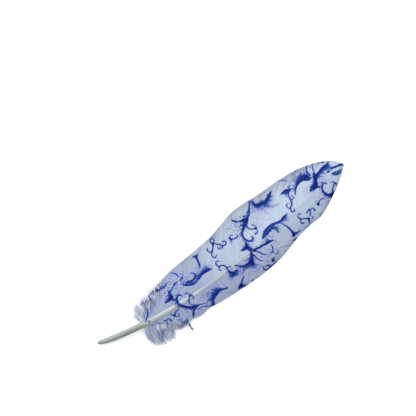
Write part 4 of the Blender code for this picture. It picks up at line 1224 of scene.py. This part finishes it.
def shaft_dye(stations, top, where):
    """Dye that creeps up the rachis: over its sides first, then over its top, with a few bare places."""
    flank = ease(54.0, 66.0, stations) * ease(0.97, 0.80, top)
    bare = sum(np.exp(-(((stations - at) / wide) ** 2)) for at, wide in BARE_PLACES)
    crown = ease(92.0, 104.0, stations) * (1 - 0.7 * np.clip(bare, 0.0, 1.0))
    return np.maximum(flank, crown) * (0.85 + 0.15 * mottle(where[:, 0] * 0.3, where[:, 1], 5))


def length_size(name, description, default, low, high):
    return FloatProperty(
        name=name, description=description, default=default, min=low, max=high, unit="LENGTH",
    )


def colour_size(name, description, code):
    return FloatVectorProperty(
        name=name, description=description, default=linear(code), subtype="COLOR", size=3, min=0.0, max=1.0,
    )


class FeatherShaftSizes(bpy.types.PropertyGroup):
    sides: IntProperty(name="Sides", description="Points round the shaft", default=28, min=8, max=96)
    horn_colour: colour_size("Horn colour", "Warm colour of the growth lines in the horn", "#a09f86")


class FeatherVaneSizes(bpy.types.PropertyGroup):
    barbs: IntProperty(name="Barbs", description="Barbs along each vane", default=310, min=50, max=800)
    ridge: length_size("Barb ridge", "Height of one barb above the web between barbs", 0.00006, 0.0, 0.0005)
    thickness: length_size("Vane thickness", "Thickness of a vane beside the shaft", 0.0002, 0.00005, 0.001)
    tip_width: length_size("Tip width", "Width of a free barb tip", 0.0003, 0.00005, 0.001)
    tip_thickness: length_size("Tip thickness", "Thickness of a free barb tip", 0.00014, 0.00005, 0.001)
    # light_colour and shade_colour end the vanes' tone ramp, along which the painted shade on the narrow vane
    # and in the webs also runs
    light_colour: colour_size("Light colour", "Palest dye on the vanes", "#bccbda")
    shade_colour: colour_size("Shade colour", "Deepest dye on the vanes", "#8d9bb2")


class FeatherDownSizes(bpy.types.PropertyGroup):
    ribs: IntProperty(name="Ribs", description="Ribs on the narrow side", default=250, min=10, max=400)
    rib_width: length_size("Rib width", "Width of one barb of down", 0.00078, 0.0001, 0.003)
    rib_thickness: length_size("Rib thickness", "Thickness of one barb of down", 0.0002, 0.00005, 0.001)
    barbule_width: length_size("Barbule width", "Width of one loose barbule", 0.0001, 0.00003, 0.0005)
    stray_width: length_size("Stray barb width", "Width of a barb that sticks out", 0.0008, 0.0001, 0.003)
    stray_thickness: length_size("Stray barb thickness", "Thickness of such a barb", 0.0003, 0.00005, 0.001)
    pale_colour: colour_size("Pale colour", "Palest down", "#d8e0ee")
    dark_colour: colour_size("Dark colour", "Darkest down", "#8d98b6")


class FeatherStageSizes(bpy.types.PropertyGroup):
    floor_size: length_size("Floor size", "Side of the floor", 6.0, 0.5, 50.0)
    glow: FloatProperty(name="Glow", description="Light through the card", default=0.14, min=0.0, max=2.0)
    lens: FloatProperty(name="Lens", description="Focal length in mm", default=85.0, min=10.0, max=300.0)
    view_width: length_size("View width", "Width that the camera sees", PHOTO_SIDE * PIXEL * MM, 0.01, 5.0)


class FEATHER_OT_shaft(bpy.types.Operator):
    """Makes the barrel and the rachis"""

    bl_idname = "feather.shaft"
    bl_label = "Shaft"

    def execute(self, context):
        sizes = context.scene.feather_shaft
        mesh, stations, top = shaft_mesh(sizes)
        face_outward(mesh)
        mesh.shade_smooth()
        mesh.materials.append(horn_material(sizes))
        where = print_on(mesh, 0.0)
        set_values(mesh, "dye", shaft_dye(stations, top, where))
        set_values(mesh, "ink", read_values(mesh, "ink") * ease(27.0, 29.5, stations))
        finish_piece(add_object("shaft", mesh))
        return {"FINISHED"}


class FEATHER_OT_vanes(bpy.types.Operator):
    """Makes the broad and the narrow vane, each a sheet of hooked barbs with free tips along its rim"""

    bl_idname = "feather.vanes"
    bl_label = "Vanes"

    def execute(self, context):
        sizes = context.scene.feather_vanes
        material = barb_material(sizes)
        ridges, strands = barb_tree(), strand_tree("tips_from_lines", STRAND_SIDES)
        width, thickness = sizes.tip_width, sizes.tip_thickness
        for name, vane in (("broad_vane", BROAD), ("narrow_vane", NARROW)):
            sheet = vane_sheet(name, vane, sizes.barbs, sizes.thickness / MM)
            grow(sheet, ridges, Ridge=sizes.ridge, Seed=vane["seed"], Material=material)
            lines = tip_lines(vane, sizes.barbs)
            tips = grow_strands(name + "_tips", lines, strands, width, thickness, material)
            for piece in (sheet, tips):
                print_on(piece.data)
                finish_piece(piece)
        return {"FINISHED"}


class FEATHER_OT_down(bpy.types.Operator):
    """Makes the down at the foot of both vanes"""

    bl_idname = "feather.down"
    bl_label = "Down"

    def execute(self, context):
        sizes = context.scene.feather_down
        material = down_material(sizes)
        strands = strand_tree("down_from_lines", STRAND_SIDES)
        fine = sizes.barbule_width
        for name, (table, share, *plan) in DOWN_PLANS.items():
            ribs, barbules = down_lines(table, int(sizes.ribs * share), *plan)
            for part, lines, width, thickness, strength in (
                (name, ribs, sizes.rib_width, sizes.rib_thickness, 0.85),
                (name + "_barbules", barbules, fine, fine, 0.5),
            ):
                thing = grow_strands(part, lines, strands, width, thickness, material)
                print_on(thing.data, 0.4, strength, 0.5)
                finish_piece(thing)
        width, thickness = sizes.stray_width, sizes.stray_thickness
        strays = grow_strands("stray_barbs", stray_lines(), strands, width, thickness, material)
        print_on(strays.data, 0.4, 0.6)
        dip, ink = (read_values(strays.data, key) for key in ("dip", "ink"))
        set_values(strays.data, "ink", np.maximum(dip, ink))
        finish_piece(strays)
        return {"FINISHED"}


def add_floor(sizes):
    """White card, matt, lit a little from behind as on a light table, so that its shadow stays faint."""
    half = sizes.floor_size / 2
    mesh = bpy.data.meshes.new("floor")
    corners = [(-half, -half, 0), (half, -half, 0), (half, half, 0), (-half, half, 0)]
    mesh.from_pydata(corners, [], [(0, 1, 2, 3)])
    material, tree, shader = new_material("white_card")
    set_inputs(tree, shader, {
        "Base Color": rgba("#fbfbfb"),
        "Roughness": 0.9,
        "Emission Color": rgba(1.0),
        "Emission Strength": sizes.glow,
    })
    mesh.materials.append(material)
    add_object("floor", mesh)


def add_lights(scene):
    """An even pale room, a broad window and a weaker fill from the other side."""
    world = bpy.data.worlds.new("soft_room")
    world.use_nodes = True
    background = world.node_tree.nodes["Background"]
    set_inputs(world.node_tree, background, {"Color": rgba("#fbfcff"), "Strength": 0.86})
    scene.world = world
    for name, azimuth, height, distance, size, power, code in LIGHTS:
        lamp = bpy.data.lights.new(name, "AREA")
        lamp.shape, lamp.size, lamp.energy = "DISK", size, power
        lamp.color = linear(code)
        thing = add_object(name, lamp)
        turn, rise = math.radians(azimuth), math.radians(height)
        east, north = math.cos(turn) * math.cos(rise), math.sin(turn) * math.cos(rise)
        thing.location = distance * Vector((east, north, math.sin(rise)))
        thing.rotation_euler = thing.location.to_track_quat("Z", "Y").to_euler()


def add_camera(scene, sizes):
    """The camera looks straight down on the photograph's middle, with the chord rising across the picture."""
    lens = bpy.data.cameras.new("camera")
    lens.lens, lens.sensor_width = sizes.lens, SENSOR_WIDTH
    camera = add_object("camera", lens)
    middle = place(from_photo([(PHOTO_SIDE / 2, PHOTO_SIDE / 2, 0.0)])[0])
    height = FOCUS_HEIGHT * MM + sizes.view_width * sizes.lens / SENSOR_WIDTH
    camera.location = (middle[0], middle[1], height)
    camera.rotation_euler = (0.0, 0.0, -math.radians(PHOTO_RISE))
    scene.camera = camera


class FEATHER_OT_stage(bpy.types.Operator):
    """Makes the pale floor, the soft lights and the camera"""

    bl_idname = "feather.stage"
    bl_label = "Stage"

    def execute(self, context):
        sizes = context.scene.feather_stage
        add_floor(sizes)
        add_lights(context.scene)
        add_camera(context.scene, sizes)
        context.scene.view_settings.view_transform = "Standard"
        return {"FINISHED"}


class FEATHER_PT_panel(bpy.types.Panel):
    """Lists the feather's sizes and the steps that make it"""

    bl_idname = "FEATHER_PT_panel"
    bl_label = "Goose Quill Feather"
    bl_space_type = "VIEW_3D"
    bl_region_type = "UI"
    bl_category = "Feather"

    def draw(self, context):
        for step in STEPS:
            self.layout.operator(step.bl_idname)
        for group in GROUPS:
            sizes = getattr(context.scene, group)
            box = self.layout.box()
            for key in sizes.__annotations__:
                box.prop(sizes, key)


GROUPS = {
    "feather_shaft": FeatherShaftSizes,
    "feather_vanes": FeatherVaneSizes,
    "feather_down": FeatherDownSizes,
    "feather_stage": FeatherStageSizes,
}
STEPS = (FEATHER_OT_shaft, FEATHER_OT_vanes, FEATHER_OT_down, FEATHER_OT_stage)
CLASSES = (*GROUPS.values(), *STEPS, FEATHER_PT_panel)


def register():
    for kind in CLASSES:
        bpy.utils.register_class(kind)
    for name, group in GROUPS.items():
        setattr(bpy.types.Scene, name, PointerProperty(type=group))


def unregister():
    for name in GROUPS:
        delattr(bpy.types.Scene, name)
    for kind in reversed(CLASSES):
        bpy.utils.unregister_class(kind)


def main():
    register()
    bpy.ops.feather.shaft()
    bpy.ops.feather.vanes()
    bpy.ops.feather.down()
    bpy.ops.feather.stage()


if __name__ == "__main__":
    main()
